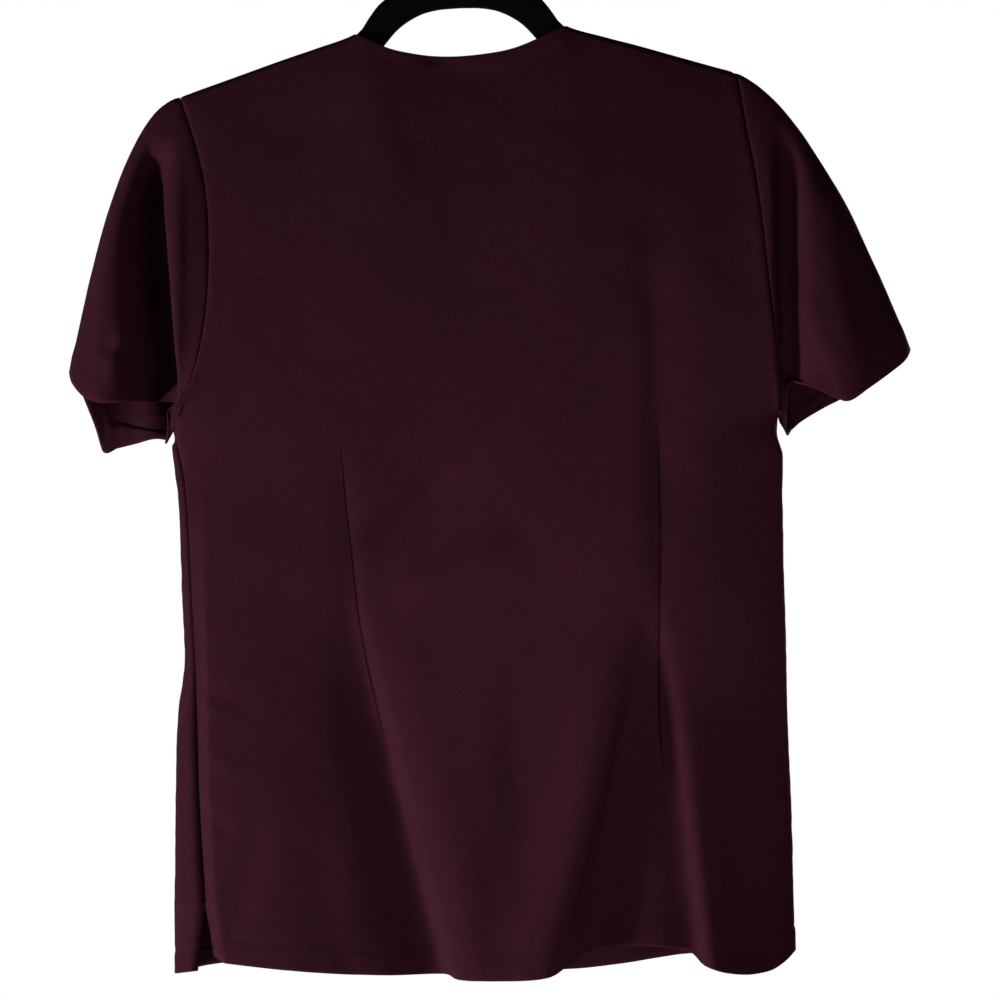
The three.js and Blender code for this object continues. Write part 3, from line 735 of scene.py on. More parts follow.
def sleeve_relief(name, surface, depth):
    """Small heights over a sleeve's form: creases, wrinkles, the hem and the armhole seam."""
    x = surface["x"]
    face = surface["face"]
    away = rise(surface["from_side"], 3, 25)
    sides = rise(np.abs(face), 0.05, 0.5)
    creases = crease_relief(SLEEVES[name]["creases"], x, surface["down"])
    relief = depth * away * sides * creases * np.where(face > 0, 1, -0.7)
    add_wrinkles(relief, surface["points"], depth * away, "sleeve")
    ripple = waves(surface["points"], RIPPLE_LENGTH, RIPPLE_SEED)
    add_hem(relief, surface["from_hem"], ripple, "sleeve")
    relief -= 0.8 * np.exp(-surface["from_side"] / 1.6)
    relief += 0.35 * ripple * bump(surface["from_side"] - 4, 9)
    surface["dart"], surface["sewn"] = no_darts(x)
    return relief


# ---------------------------------------------------------------- cloth meshes


def pull_back_from_seams(points, rows, columns):
    """Moves the rows and columns that are sewn half a seam gap into the piece."""
    for edge, inner in rows:
        step = points[inner] - points[edge]
        step /= np.maximum(np.linalg.norm(step, axis=-1, keepdims=True), 1e-9)
        points[edge] += step * SEAM_HALF_GAP
    for edge, inner, last in columns:
        step = points[:last, inner] - points[:last, edge]
        step /= np.maximum(np.linalg.norm(step, axis=-1, keepdims=True), 1e-9)
        points[:last, edge] += step * SEAM_HALF_GAP


def lay_grid(bm, points, fields, flat):
    """Adds a grid of faces whose vertices take the points (mm), with its fields and flat map."""
    rows, columns = points.shape[:2]
    made = bmesh.ops.create_grid(
        bm, x_segments=columns - 1, y_segments=rows - 1, size=1.0, calc_uvs=True,
    )["verts"]
    uv = bm.loops.layers.uv.verify()
    layers = {name: bm.verts.layers.float[name] for name in fields}
    for vertex in made:
        i = round((vertex.co.y + 1) / 2 * (rows - 1))
        j = round((vertex.co.x + 1) / 2 * (columns - 1))
        for loop in vertex.link_loops:
            loop[uv].uv = flat[i, j]
        for name, values in fields.items():
            vertex[layers[name]] = values[i, j]
        vertex.co = Vector(points[i, j]) * MM


def flat_map(points):
    """The cloth's own coordinates in metres, along its rows and down its columns."""
    across = np.linalg.norm(np.diff(points, axis=1), axis=2)
    along = np.linalg.norm(np.diff(points, axis=0), axis=2)
    middle = len(points) // 2
    u = np.concatenate(([0], np.cumsum(across[middle])))
    v = np.vstack((np.zeros(points.shape[1]), np.cumsum(along, axis=0)))
    return np.stack((np.broadcast_to(u, v.shape), -v), axis=2) * MM


def turned_rows(points, normals, count):
    """An edge's cloth turned inside: the rows next to the last one again, behind the face."""
    edge = points[-1]
    beyond = edge - points[-2]
    beyond /= np.maximum(np.linalg.norm(beyond, axis=-1, keepdims=True), 1e-9)
    fold = edge + 0.35 * beyond - normals[-1] * TURNED_GAP / 2
    rows = [fold]
    for step in range(count):
        gap = TURNED_GAP - 0.25 * (step == count - 1)
        rows.append(points[-1 - step] - normals[-1 - step] * gap)
    return np.array(rows)


def mirrored_field(values, count):
    return np.array([values[-1]] + [values[-1 - step] for step in range(count)])


def cloth_fields(surface):
    """What the cloth's material reads at each vertex, with distances in metres."""
    return {
        "dart": surface["dart"] * MM,
        "sewn": surface["sewn"],
        "from_side": surface["from_side"] * MM,
        "from_hem": surface["from_hem"] * MM,
    }


def with_turned_hem(points, fields, flat, normals, count):
    """The grid with its last rows turned inside, and its fields and flat map to match."""
    turned = turned_rows(points, normals, count)
    run = np.linalg.norm(np.diff(np.vstack((points[-1:], turned)), axis=0), axis=2)
    turned_flat = np.repeat(flat[-1:], len(turned), axis=0)
    turned_flat[:, :, 1] -= np.cumsum(run, axis=0) * MM
    joined = {
        name: np.vstack((values, mirrored_field(values, count))) for name, values in fields.items()
    }
    return np.vstack((points, turned)), joined, np.vstack((flat, turned_flat))


def with_seam_allowance(points, fields, flat, normals):
    """The grid with a narrow strip ahead of its first row, set in behind the next piece."""
    into = points[1] - points[0]
    into /= np.maximum(np.linalg.norm(into, axis=-1, keepdims=True), 1e-9)
    turned = points[0] - normals[0] * SEAM_TURN
    strip = turned - into * SEAM_ALLOWANCE
    turned_flat = flat[0] + np.array((0.0, SEAM_TURN * MM))
    strip_flat = turned_flat + np.array((0.0, SEAM_ALLOWANCE * MM))
    joined = {name: np.vstack((values[:1], values[:1], values)) for name, values in fields.items()}
    return np.vstack(([strip, turned], points)), joined, np.vstack(([strip_flat, turned_flat], flat))


def start_cloth(fields):
    """An empty mesh with a layer for each of the cloth's fields."""
    bm = bmesh.new()
    for name in fields:
        bm.verts.layers.float.new(name)
    return bm


def finish_cloth(bm, name, toward, thickness, materials):
    """Closes, smooths and thickens a sheet, and makes it a piece of the frame."""
    bmesh.ops.remove_doubles(bm, verts=bm.verts[:], dist=0.00002)
    bmesh.ops.recalc_face_normals(bm, faces=bm.faces[:])
    bm.normal_update()
    facing = sum(face.normal.dot(toward(face)) * face.calc_area() for face in bm.faces)
    if facing < 0:
        bmesh.ops.reverse_faces(bm, faces=bm.faces[:])
    piece = add_piece(bm, name, materials)
    wall = piece.modifiers.new("cloth thickness", "SOLIDIFY")
    wall.thickness = thickness
    wall.offset = -1.0
    return piece


def add_piece(bm, name, materials):
    """A named object from a bmesh, smooth shaded, on the frame's only body."""
    for face in bm.faces:
        face.smooth = True
    mesh = bpy.data.meshes.new(name)
    bm.to_mesh(mesh)
    bm.free()
    piece = bpy.data.objects.new(name, mesh)
    bpy.context.scene.collection.objects.link(piece)
    for material in materials:
        piece.data.materials.append(material)
    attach(piece, "root")
    return piece


# ---------------------------------------------------------------- stitches


def level_path(surface, field, level):
    """Points and normals across a grid, where a distance from an edge reaches a level."""
    values = surface[field]
    path = []
    for j in range(values.shape[1]):
        column = values[:, j] - level
        crossings = np.nonzero(column[:-1] * column[1:] <= 0)[0]
        if len(crossings) == 0:
            continue
        i = crossings[-1]
        share = column[i] / (column[i] - column[i + 1]) if column[i] != column[i + 1] else 0
        point = mix(surface["points"][i, j], surface["points"][i + 1, j], share)
        normal = mix(surface["normals"][i, j], surface["normals"][i + 1, j], share)
        path.append((point, normal))
    return path


def sew(bm, path, length):
    """Adds a row of short stitches along a path of points and normals, in mm."""
    pitch = length * STITCH_PITCH
    points = np.array([point for point, _ in path])
    normals = np.array([normal for _, normal in path])
    run = np.concatenate(([0], np.cumsum(np.linalg.norm(np.diff(points, axis=0), axis=1))))
    for start in np.arange(pitch, run[-1] - length, pitch):
        ends = [
            np.array([np.interp(at, run, points[:, axis]) for axis in range(3)])
            for at in (start, start + length)
        ]
        normal = Vector([np.interp(start, run, normals[:, axis]) for axis in range(3)]).normalized()
        along = Vector(ends[1] - ends[0])
        across = normal.cross(along).normalized()
        size = Vector((along.length / 2, STITCH_WIDTH / 2, STITCH_WIDTH / 2.4))
        turn = Matrix((along.normalized(), across, normal)).transposed().to_4x4()
        centre = Matrix.Translation((Vector(ends[0]) + Vector(ends[1])) / 2 * MM)
        stretch = Matrix.Diagonal((*(size * MM), 1))
        bmesh.ops.create_icosphere(bm, subdivisions=1, radius=1.0, matrix=centre @ turn @ stretch)


def add_stitching(name, paths, settings):
    """The rows of stitches along some paths, as one piece."""
    bm = bmesh.new()
    for path in paths:
        sew(bm, path, settings.stitch_length / MM)
    thread = shared_material("sewing thread", sewing_thread, settings)
    return add_piece(bm, name, [thread])


# ---------------------------------------------------------------- materials


def slot_colour(slot):
    """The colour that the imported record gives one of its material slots."""
    for material in frame["record"]["materials"]:
        if material["slot"] == slot:
            return (*material["base_color"], 1.0)
    raise ValueError(f"the record has no material slot {slot}")


def new_material(name):
    """A material with only a Principled shader and its output, and the tree to add to."""
    material = bpy.data.materials.new(name)
    material.use_nodes = True
    tree = material.node_tree
    return material, tree, tree.nodes["Principled BSDF"]


def add_node(tree, kind, settings=None, **inputs):
    """Adds a node. Each input, by name or as n0, n1 and so on, takes a value or a socket."""
    node = tree.nodes.new(kind)
    for name, value in (settings or {}).items():
        setattr(node, name, value)
    for name, value in inputs.items():
        numbered = name[0] == "n" and name[1:].isdigit()
        socket = node.inputs[int(name[1:]) if numbered else name]
        if isinstance(value, bpy.types.NodeSocket):
            tree.links.new(value, socket)
        else:
            socket.default_value = value
    return node


def maths(tree, operation, first, second=0.0, third=0.0):
    node = add_node(tree, "ShaderNodeMath", {"operation": operation}, n0=first, n1=second, n2=third)
    return node.outputs[0]


def field(tree, name):
    return add_node(tree, "ShaderNodeAttribute", {"attribute_name": name}).outputs["Fac"]


def ramp(tree, value, low, high, low_to=0.0, high_to=1.0):
    """Maps a value from one range to another, held at the ends."""
    node = add_node(
        tree, "ShaderNodeMapRange", {"interpolation_type": "SMOOTHSTEP"},
        n0=value, n1=low, n2=high, n3=low_to, n4=high_to,
    )
    return node.outputs[0]


def noise_value(tree, vector, scale, detail=2.0, roughness=0.5):
    node = add_node(
        tree, "ShaderNodeTexNoise", Vector=vector, Scale=scale, Detail=detail, Roughness=roughness,
    )
    return node.outputs[0]


def blend_colour(tree, share, first, second):
    node = add_node(tree, "ShaderNodeMix", {"data_type": "RGBA"}, n0=share, n6=first, n7=second)
    return node.outputs[2]


def scaled(colour, factor):
    return (*(channel * factor for channel in colour[:3]), 1.0)


def bump_over(tree, height, distance, strength=1.0, under=None):
    node = add_node(tree, "ShaderNodeBump", Height=height, Distance=distance, Strength=strength)
    if under is not None:
        tree.links.new(under, node.inputs["Normal"])
    return node.outputs["Normal"]


def burgundy_twill(settings):
    """Fine twill: diagonal ribs and slubs on the cloth's own map, soft colour changes, and painted shade
    along the sewn darts and the seams.
    """
    material, tree, shader = new_material("burgundy twill")
    flat = add_node(tree, "ShaderNodeUVMap").outputs[0]
    place = add_node(tree, "ShaderNodeTexCoord").outputs["Object"]
    colour = tuple(settings.cloth_colour)

    stretched = add_node(tree, "ShaderNodeMapping", n0=flat, Scale=(1.0, 0.12, 1.0)).outputs[0]
    crossways = add_node(tree, "ShaderNodeMapping", n0=flat, Scale=(0.12, 1.0, 1.0)).outputs[0]
    warp = noise_value(tree, stretched, 1500.0)
    weft = noise_value(tree, crossways, 1300.0)
    threads = maths(tree, "ADD", warp, weft)
    ribs = add_node(
        tree, "ShaderNodeTexWave", {"bands_direction": "DIAGONAL"},
        Vector=flat, Scale=330.0, Distortion=1.2, Detail=1.0,
    ).outputs["Fac"]
    weave = maths(tree, "MULTIPLY_ADD", ribs, 0.5, threads)

    patches = noise_value(tree, place, 7.0, 3.0)
    mottle = noise_value(tree, place, 60.0, 4.0)
    tone = blend_colour(tree, ramp(tree, patches, 0.3, 0.7), scaled(colour, 0.94), scaled(colour, 1.06))
    fleck = blend_colour(tree, ramp(tree, threads, 0.7, 1.35), scaled(colour, 0.72), scaled(colour, 1.3))
    mixed = blend_colour(tree, 0.45, tone, fleck)
    worn_edge = ramp(tree, field(tree, "from_hem"), 0.0, 0.0016, 0.35, 0.0)
    mixed = blend_colour(tree, worn_edge, mixed, scaled(colour, 1.7))

    # Painted shade: the colour darkens along each sewn dart line, standing for the shade in the dart's
    # narrow fold; the same mask also cuts the fold's groove into the bump below.
    off = maths(tree, "ABSOLUTE", field(tree, "dart"))
    line = maths(tree, "MULTIPLY", ramp(tree, off, 0.0002, 0.0011, 1.0, 0.0), field(tree, "sewn"))
    mixed = blend_colour(tree, maths(tree, "MULTIPLY", line, 0.75), mixed, scaled(colour, 0.18))
    # Painted shade: the colour darkens within about a millimetre of each panel's side edges and each
    # sleeve's armhole seam, standing for the shade where the cloth dips in at the seam.
    seam = ramp(tree, field(tree, "from_side"), 0.0002, 0.0012, 0.6, 0.0)
    mixed = blend_colour(tree, seam, mixed, scaled(colour, 0.3))
    tree.links.new(mixed, shader.inputs["Base Color"])

    crumple = bump_over(tree, noise_value(tree, place, 42.0, 3.0), 0.0012, 0.25)
    mottled = bump_over(tree, mottle, 0.0004, 0.25, crumple)
    dart_groove = bump_over(tree, maths(tree, "SUBTRACT", 1.0, line), 0.0008, 0.9, mottled)
    woven = bump_over(tree, weave, 0.00012, 0.55, dart_groove)
    tree.links.new(woven, shader.inputs["Normal"])
    tree.links.new(ramp(tree, mottle, 0.3, 0.7, 0.72, 0.9), shader.inputs["Roughness"])
    shader.inputs["Specular IOR Level"].default_value = 0.035
    shader.inputs["Sheen Weight"].default_value = 0.03
    shader.inputs["Sheen Roughness"].default_value = 0.45
    shader.inputs["Sheen Tint"].default_value = (0.6, 0.2, 0.3, 1.0)
    return material


def sewing_thread(settings):
    """Twisted thread, a little lighter than the cloth that it sews."""
    material, tree, shader = new_material("sewing thread")
    place = add_node(tree, "ShaderNodeTexCoord").outputs["Object"]
    twist = add_node(
        tree, "ShaderNodeTexWave", {"bands_direction": "DIAGONAL"}, Vector=place, Scale=900.0,
    ).outputs["Fac"]
    colour = tuple(settings.cloth_colour)
    tone = blend_colour(tree, twist, scaled(colour, 0.9), scaled(colour, 1.6))
    tree.links.new(tone, shader.inputs["Base Color"])
    tree.links.new(bump_over(tree, twist, 0.00006), shader.inputs["Normal"])
    tree.links.new(ramp(tree, twist, 0.0, 1.0, 0.55, 0.7), shader.inputs["Roughness"])
    return material


def black_flock(settings):
    """Short flock: a fine pile with a soft sheen and slightly rubbed patches."""
    material, tree, shader = new_material("black flock")
    place = add_node(tree, "ShaderNodeTexCoord").outputs["Object"]
    pile = noise_value(tree, place, 2600.0, 2.0, 0.7)
    clumps = noise_value(tree, place, 160.0, 3.0)
    colour = tuple(settings.flock_colour)
    tone = blend_colour(tree, ramp(tree, pile, 0.35, 0.75), scaled(colour, 0.4), scaled(colour, 1.5))
    rubbed = blend_colour(tree, ramp(tree, clumps, 0.5, 0.8, 0.0, 0.5), tone, scaled(colour, 1.9))
    tree.links.new(rubbed, shader.inputs["Base Color"])
    soft = bump_over(tree, clumps, 0.0004, 0.35)
    tree.links.new(bump_over(tree, pile, 0.0003, 0.8, soft), shader.inputs["Normal"])
    tree.links.new(ramp(tree, clumps, 0.3, 0.7, 0.88, 1.0), shader.inputs["Roughness"])
    shader.inputs["Specular IOR Level"].default_value = 0.03
    shader.inputs["Sheen Weight"].default_value = 0.008
    shader.inputs["Sheen Roughness"].default_value = 0.5
    return material


def plated_wire():
    """Bright plated wire, with faint drawing lines and a few duller places."""
    material, tree, shader = new_material("plated wire")
    place = add_node(tree, "ShaderNodeTexCoord").outputs["Object"]
    dull = noise_value(tree, place, 90.0, 4.0)
    fine = noise_value(tree, place, 1400.0, 2.0)
    colour = slot_colour("hook_wire")
    tone = blend_colour(tree, ramp(tree, dull, 0.45, 0.75), scaled(colour, 1.15), scaled(colour, 0.8))
    tree.links.new(tone, shader.inputs["Base Color"])
    tree.links.new(ramp(tree, dull, 0.3, 0.8, 0.16, 0.34), shader.inputs["Roughness"])
    tree.links.new(bump_over(tree, fine, 0.00003, 0.5), shader.inputs["Normal"])
    shader.inputs["Metallic"].default_value = 1.0
    return material


def shared_material(name, make, *settings):
    """The material of that name, made the first time that a piece asks for it."""
    return bpy.data.materials.get(name) or make(*settings)


# ---------------------------------------------------------------- pieces


def make_panel(panel, columns_each, settings):
    """One body panel with its hem and neck edge turned inside."""
    outward = 1 if panel == "back" else -1
    surface = panel_surface(panel, columns_each, PANEL_ROW_STEPS[panel])
    normals = face_normals(surface["points"], outward)
    relief = panel_relief(panel, surface, settings.crease_depth)
    points = surface["points"] + normals * relief[:, :, None]
    neck_from, neck_to = surface["neck"]
    sewn_top = [
        ((0, slice(None, neck_from + 1)), (1, slice(None, neck_from + 1))),
        ((0, slice(neck_to, None)), (1, slice(neck_to, None))),
    ]
    last = surface["vent_row"] + 1
    pull_back_from_seams(points, sewn_top, [(0, 1, last), (-1, -2, last)])
    surface["points"] = points
    surface["normals"] = face_normals(points, outward)

    fields = cloth_fields(surface)
    flat = flat_map(points)
    hem_rows = int(np.argmax(surface["from_hem"][::-1, points.shape[1] // 2] > HEM_STITCH + 2))
    bm = start_cloth(fields)
    body = with_turned_hem(points, fields, flat, surface["normals"], hem_rows)
    lay_grid(bm, *body)

    neck = slice(neck_from, neck_to + 1)
    middle = (neck_from + neck_to) // 2
    neck_rows = int(np.argmax(surface["from_top"][:, middle] > NECK_STITCH + 1))
    edge_up = points[neck_rows::-1, neck]
    neck_fields = {name: values[neck_rows::-1, neck] for name, values in fields.items()}
    turned = with_turned_hem(
        edge_up, neck_fields, flat[neck_rows::-1, neck],
        surface["normals"][neck_rows::-1, neck], neck_rows,
    )
    strip = slice(neck_rows, None)
    strip_fields = {name: values[strip] for name, values in turned[1].items()}
    lay_grid(bm, turned[0][strip], strip_fields, turned[2][strip])

    def toward(_face):
        return Vector((0, outward, 0))

    twill = shared_material("burgundy twill", burgundy_twill, settings)
    piece = finish_cloth(bm, f"{panel}_cloth", toward, settings.cloth_thickness, [twill])

    neck_edge = {
        "from_top": surface["from_top"][:, neck],
        "points": points[:, neck],
        "normals": surface["normals"][:, neck],
    }
    paths = [
        level_path(surface, "from_hem", HEM_STITCH),
        level_path(neck_edge, "from_top", NECK_STITCH),
    ]
    return piece, add_stitching(f"{panel}_stitching", paths, settings)


def make_sleeve(name, settings):
    """One set-in sleeve with its hem turned inside."""
    surface = sleeve_surface(name, SLEEVE_COLUMN_STEPS, SLEEVE_ROWS)
    outward = SLEEVES[name]["side"]
    normals = face_normals(surface["points"], outward)
    relief = sleeve_relief(name, surface, settings.crease_depth)
    points = surface["points"] + normals * relief[:, :, None]
    points[:, -1] = points[:, 0]
    pull_back_from_seams(points, [(0, 1)], [])
    surface["points"] = points
    surface["normals"] = face_normals(points, outward)
    surface["normals"][:, -1] = surface["normals"][:, 0]

    fields = cloth_fields(surface)
    flat = flat_map(points)
    counted = surface["from_hem"][::-1, SLEEVE_COLUMN_STEPS * SLEEVE_HEM_COLUMN]
    hem_rows = int(np.argmax(counted > SLEEVE_STITCH + 2))
    bm = start_cloth(fields)
    hemmed = with_turned_hem(points, fields, flat, surface["normals"], hem_rows)
    lay_grid(bm, *with_seam_allowance(*hemmed, surface["normals"]))

    def toward(face):
        y = face.calc_center_median().y
        return Vector((0, math.copysign(1, y), 0)) if abs(y) > SLEEVE_FOLD_HALF * MM else Vector()

    twill = shared_material("burgundy twill", burgundy_twill, settings)
    piece = finish_cloth(bm, f"{name}_sleeve_cloth", toward, settings.cloth_thickness, [twill])

    paths = [level_path(surface, "from_hem", SLEEVE_STITCH)]
    return piece, add_stitching(f"{name}_sleeve_stitching", paths, settings)


def hanger_outline():
    """The band's outline in the X-Z plane, once round from the top of the arch, in mm."""

    def arm(side):
        def at(out, up):
            return (side * out + GARMENT_SHIFT, up - side * out * HANGER_LEAN)

        def top(out):
            return -read(SHOULDER, "out", out, "down") - HANGER_UNDER_CLOTH

        arch_outs = np.linspace(2, ARCH_OUTER[-1]["out"], 30)
        outer = [at(out, read(ARCH_OUTER, "out", out, "up")) for out in arch_outs]
        arm_outs = np.linspace(NECK_HALF + 2, HANGER_HALF - 8, 40)
        outer += [at(out, top(out)) for out in arm_outs]
        end = top(HANGER_HALF)
        turn = HANGER_BAND / 2 - 2
        for degrees in range(70, -71, -20):
            angle = math.radians(degrees)
            reach = HANGER_HALF - turn * 0.55 * (1 - math.cos(angle))
            outer.append(at(reach, end - turn + turn * math.sin(angle)))
        inner = [at(out - 7, top(out) - HANGER_BAND + 1.5) for out in arm_outs[-3:2:-1]]
        inner_outs = np.linspace(ARCH_INNER[-1]["out"], 2, 30)
        inner += [at(out, read(ARCH_INNER, "out", out, "up")) for out in inner_outs]
        return outer, inner

    left_outer, left_inner = arm(1)
    right_outer, right_inner = arm(-1)
    top_middle = (GARMENT_SHIFT, ARCH_OUTER[0]["up"])
    under_middle = (GARMENT_SHIFT, ARCH_INNER[0]["up"])
    return [top_middle, *left_outer, *left_inner, under_middle, *right_inner[::-1], *right_outer[::-1]]


def make_hanger_body(settings):
    """The flat flocked band, cut to its outline, thickened and rounded at its edges."""
    low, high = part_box("hanger_body")
    bm = bmesh.new()
    corners = [bm.verts.new((x * MM, low[1], (z - HOOK_ABOVE_NECK) * MM)) for x, z in hanger_outline()]
    face = bm.faces.new(corners)
    sides = bmesh.ops.extrude_face_region(bm, geom=[face])["geom"]
    moved = [item for item in sides if isinstance(item, bmesh.types.BMVert)]
    bmesh.ops.translate(bm, verts=moved, vec=(0, high[1] - low[1], 0))
    bmesh.ops.recalc_face_normals(bm, faces=bm.faces[:])
    rims = [edge for edge in bm.edges if edge.calc_face_angle(0) > math.radians(60)]
    bmesh.ops.bevel(
        bm, geom=rims, offset=1.4 * MM, segments=4, profile=0.5, affect="EDGES", material=-1,
    )
    bmesh.ops.triangulate(bm, faces=[face for face in bm.faces if len(face.verts) > 4])
    flock = shared_material("black flock", black_flock, settings)
    return add_piece(bm, "hanger_flock", [flock])


def hook_path():
    """Centre line of the wire in the X-Z plane, from its foot to its tip, in mm."""
    radius = HOOK_INSIDE_RADIUS + WIRE_RADIUS
    foot = -HOOK_ABOVE_NECK + ARCH_OUTER[0]["up"] - SOCKET_DEPTH + SOCKET_CLEARANCE

    def on_ring(degrees):
        angle = math.radians(degrees)
        return Vector((radius * math.cos(angle), 0, -HOOK_INSIDE_RADIUS + radius * math.sin(angle)))

    start = Vector((0, 0, foot + SHANK_STRAIGHT))
    ring_from = on_ring(-50)
    handle_in = start + Vector((0, 0, 14))
    handle_out = ring_from - Vector((math.sin(math.radians(50)), 0, math.cos(math.radians(50)))) * 10
    swing = geometry.interpolate_bezier(start, handle_in, handle_out, ring_from, 14)
    return [Vector((0, 0, foot)), *swing, *(on_ring(degrees) for degrees in range(-45, 191, 5))]


def make_hook():
    """The wire: a round section carried along its centre line, with a rounded tip."""
    low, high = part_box("hanger_hook")
    radius = (high[1] - low[1]) / 2
    path = hook_path()
    bm = bmesh.new()
    ring = bmesh.ops.create_circle(bm, cap_ends=False, segments=24, radius=radius)["verts"]
    edges = list({edge for vertex in ring for edge in vertex.link_edges})
    bmesh.ops.translate(bm, verts=ring, vec=path[0] * MM)
    bmesh.ops.contextual_create(bm, geom=edges)
    tip = (path[-1] - path[-2]).normalized()
    stops = [(point, 1.0) for point in path[1:]]
    for degrees in (20, 40, 60, 78):
        angle = math.radians(degrees)
        stops.append((path[-1] + tip * radius / MM * math.sin(angle), math.cos(angle)))
    heading = Vector((0, 0, 1))
    at = path[0]
    scale = 1.0
    for number, (point, size) in enumerate(stops):
        ahead = stops[min(number + 1, len(stops) - 1)][0]
        behind = stops[number - 1][0] if number > 0 else path[0]
        turned = (ahead - behind).normalized()
        edges = bmesh.ops.extrude_edge_only(bm, edges=edges)["geom"]
        ring = [item for item in edges if isinstance(item, bmesh.types.BMVert)]
        edges = [item for item in edges if isinstance(item, bmesh.types.BMEdge)]
        move = (
            Matrix.Translation(point * MM)
            @ heading.rotation_difference(turned).to_matrix().to_4x4()
            @ Matrix.Scale(size / scale, 4)
            @ Matrix.Translation(-at * MM)
        )
        bmesh.ops.transform(bm, matrix=move, verts=ring)
        heading, at, scale = turned, point, size
    bmesh.ops.contextual_create(bm, geom=edges)
    bmesh.ops.recalc_face_normals(bm, faces=bm.faces[:])
    return add_piece(bm, "hook_wire_bent", [shared_material("plated wire", plated_wire)])


# ---------------------------------------------------------------- studio


def area_light(row, settings):
    """A soft round light from a row of the table of lights."""
    light = bpy.data.lights.new(row["name"], "AREA")
    light.shape = "DISK"
    light.size = row["size"]
    light.energy = getattr(settings, row["setting"]) * row["share"]
    light.color = row["colour"]
    lamp = bpy.data.objects.new(row["name"], light)
    lamp.location = row["place"]
    aim = Vector(row["target"]) - Vector(row["place"])
    lamp.rotation_euler = aim.to_track_quat("-Z", "Y").to_euler()
    bpy.context.scene.collection.objects.link(lamp)


def studio_world(ambient):
    """A white room that is seen at full strength and lights the object softly."""
    world = bpy.data.worlds.new("white room")
    world.use_nodes = True
    tree = world.node_tree
    tree.nodes.clear()
    seen = add_node(tree, "ShaderNodeBackground", Color=(1.0, 1.0, 1.0, 1.0), Strength=1.0)
    lighting = add_node(tree, "ShaderNodeBackground", Color=(1.0, 0.98, 1.0, 1.0), Strength=ambient)
    to_camera = add_node(tree, "ShaderNodeLightPath").outputs["Is Camera Ray"]
    room = add_node(
        tree, "ShaderNodeMixShader", n0=to_camera, n1=lighting.outputs[0], n2=seen.outputs[0],
    )
    output = tree.nodes.new("ShaderNodeOutputWorld")
    tree.links.new(room.outputs[0], output.inputs["Surface"])
    bpy.context.scene.world = world


def studio_floor(drop):
    """A pale round floor, well below the hem."""
    bm = bmesh.new()
    level = CAD_BOX[0][2] - drop
    bmesh.ops.create_circle(
        bm, cap_ends=True, cap_tris=True, segments=96, radius=FLOOR_RADIUS,
        matrix=Matrix.Translation((0, 0, level)),
    )
    mesh = bpy.data.meshes.new("studio_floor")
    bm.to_mesh(mesh)
    bm.free()
    floor = bpy.data.objects.new("studio_floor", mesh)
    bpy.context.scene.collection.objects.link(floor)
    material, tree, shader = new_material("pale floor")
    place = add_node(tree, "ShaderNodeTexCoord").outputs["Object"]
    tone = blend_colour(
        tree, noise_value(tree, place, 3.0, 3.0), (0.80, 0.79, 0.78, 1.0), (0.86, 0.85, 0.84, 1.0),
    )
    tree.links.new(tone, shader.inputs["Base Color"])
    shader.inputs["Roughness"].default_value = 0.8
    mesh.materials.append(material)


# ---------------------------------------------------------------- settings


class GarmentSettings(bpy.types.PropertyGroup):
    """Sizes and colours of the cloth and its stitches."""

    cloth_colour: FloatVectorProperty(
        name="Cloth colour", description="Middle tone of the twill", subtype="COLOR", size=4,
        min=0.0, max=1.0, default=slot_colour("burgundy_twill"),
    )
    cloth_thickness: FloatProperty(
        name="Cloth thickness", description="Thickness of one layer of the cloth",
        default=0.0006, min=0.0003, max=0.0012, unit="LENGTH", precision=4,
    )
    crease_depth: FloatProperty(
        name="Crease depth", description="How strongly the smaller creases stand out",
        default=1.0, min=0.0, max=2.0, subtype="FACTOR",
    )
    stitch_length: FloatProperty(
        name="Stitch length", description="Length of one stitch in the hems and the neck edge",
        default=0.0025, min=0.0015, max=0.005, unit="LENGTH", precision=4,
    )
    steps_back: IntProperty(
        name="Back mesh steps", description="Mesh steps in each column of the back panel's form",
        default=6, min=2, max=7,
    )
    steps_front: IntProperty(
        name="Front mesh steps", description="Mesh steps in each column of the front panel's form",
        default=5, min=2, max=7,
    )


class HangerSettings(bpy.types.PropertyGroup):
    """Colours of the hanger."""

    flock_colour: FloatVectorProperty(
        name="Flock colour", description="Colour of the hanger's flock", subtype="COLOR", size=4,
        min=0.0, max=1.0, default=slot_colour("black_flock"),
    )


class StudioSettings(bpy.types.PropertyGroup):
    """Camera, floor and light."""

    camera_distance: FloatProperty(
        name="Camera distance", description="From the camera to the hanger's plane",
        default=1.6, min=0.5, max=5.0, unit="LENGTH",
    )
    framed_width: FloatProperty(
        name="Framed width", description="Width of the view at the hanger's plane",
        default=0.735, min=0.3, max=2.0, unit="LENGTH",
    )
    camera_roll: FloatProperty(
        name="Camera roll", description="Turn of the camera about its line of sight",
        default=math.radians(1.25), min=-0.5, max=0.5, unit="ROTATION",
    )
    floor_drop: FloatProperty(
        name="Floor drop", description="From the lowest point of the hem to the floor",
        default=0.6, min=0.0, max=1.0, unit="LENGTH",
    )
    ambient: FloatProperty(
        name="Room light", description="Strength of the light from all round",
        default=0.04, min=0.0, max=2.0,
    )
    key_power: FloatProperty(
        name="Key light", description="Power of the light from low on the left, in watts",
        default=40.0, min=0.0, max=1000.0,
    )
    fill_power: FloatProperty(
        name="Near light",
        description="Power of the small light close to the back, in watts; two others follow it",
        default=0.5, min=0.0, max=500.0,
    )


# ---------------------------------------------------------------- operators


class SCRUBTOP_OT_back_panel(bpy.types.Operator):
    """Cut and hang the back panel with its two long darts"""

    bl_idname = "scrubtop.back_panel"
    bl_label = "Back panel"

    def execute(self, context):
        settings = context.scene.scrub_garment
        piece, stitches = make_panel("back", settings.steps_back, settings)
        finish_sheet("back_panel")
        return {"FINISHED"}


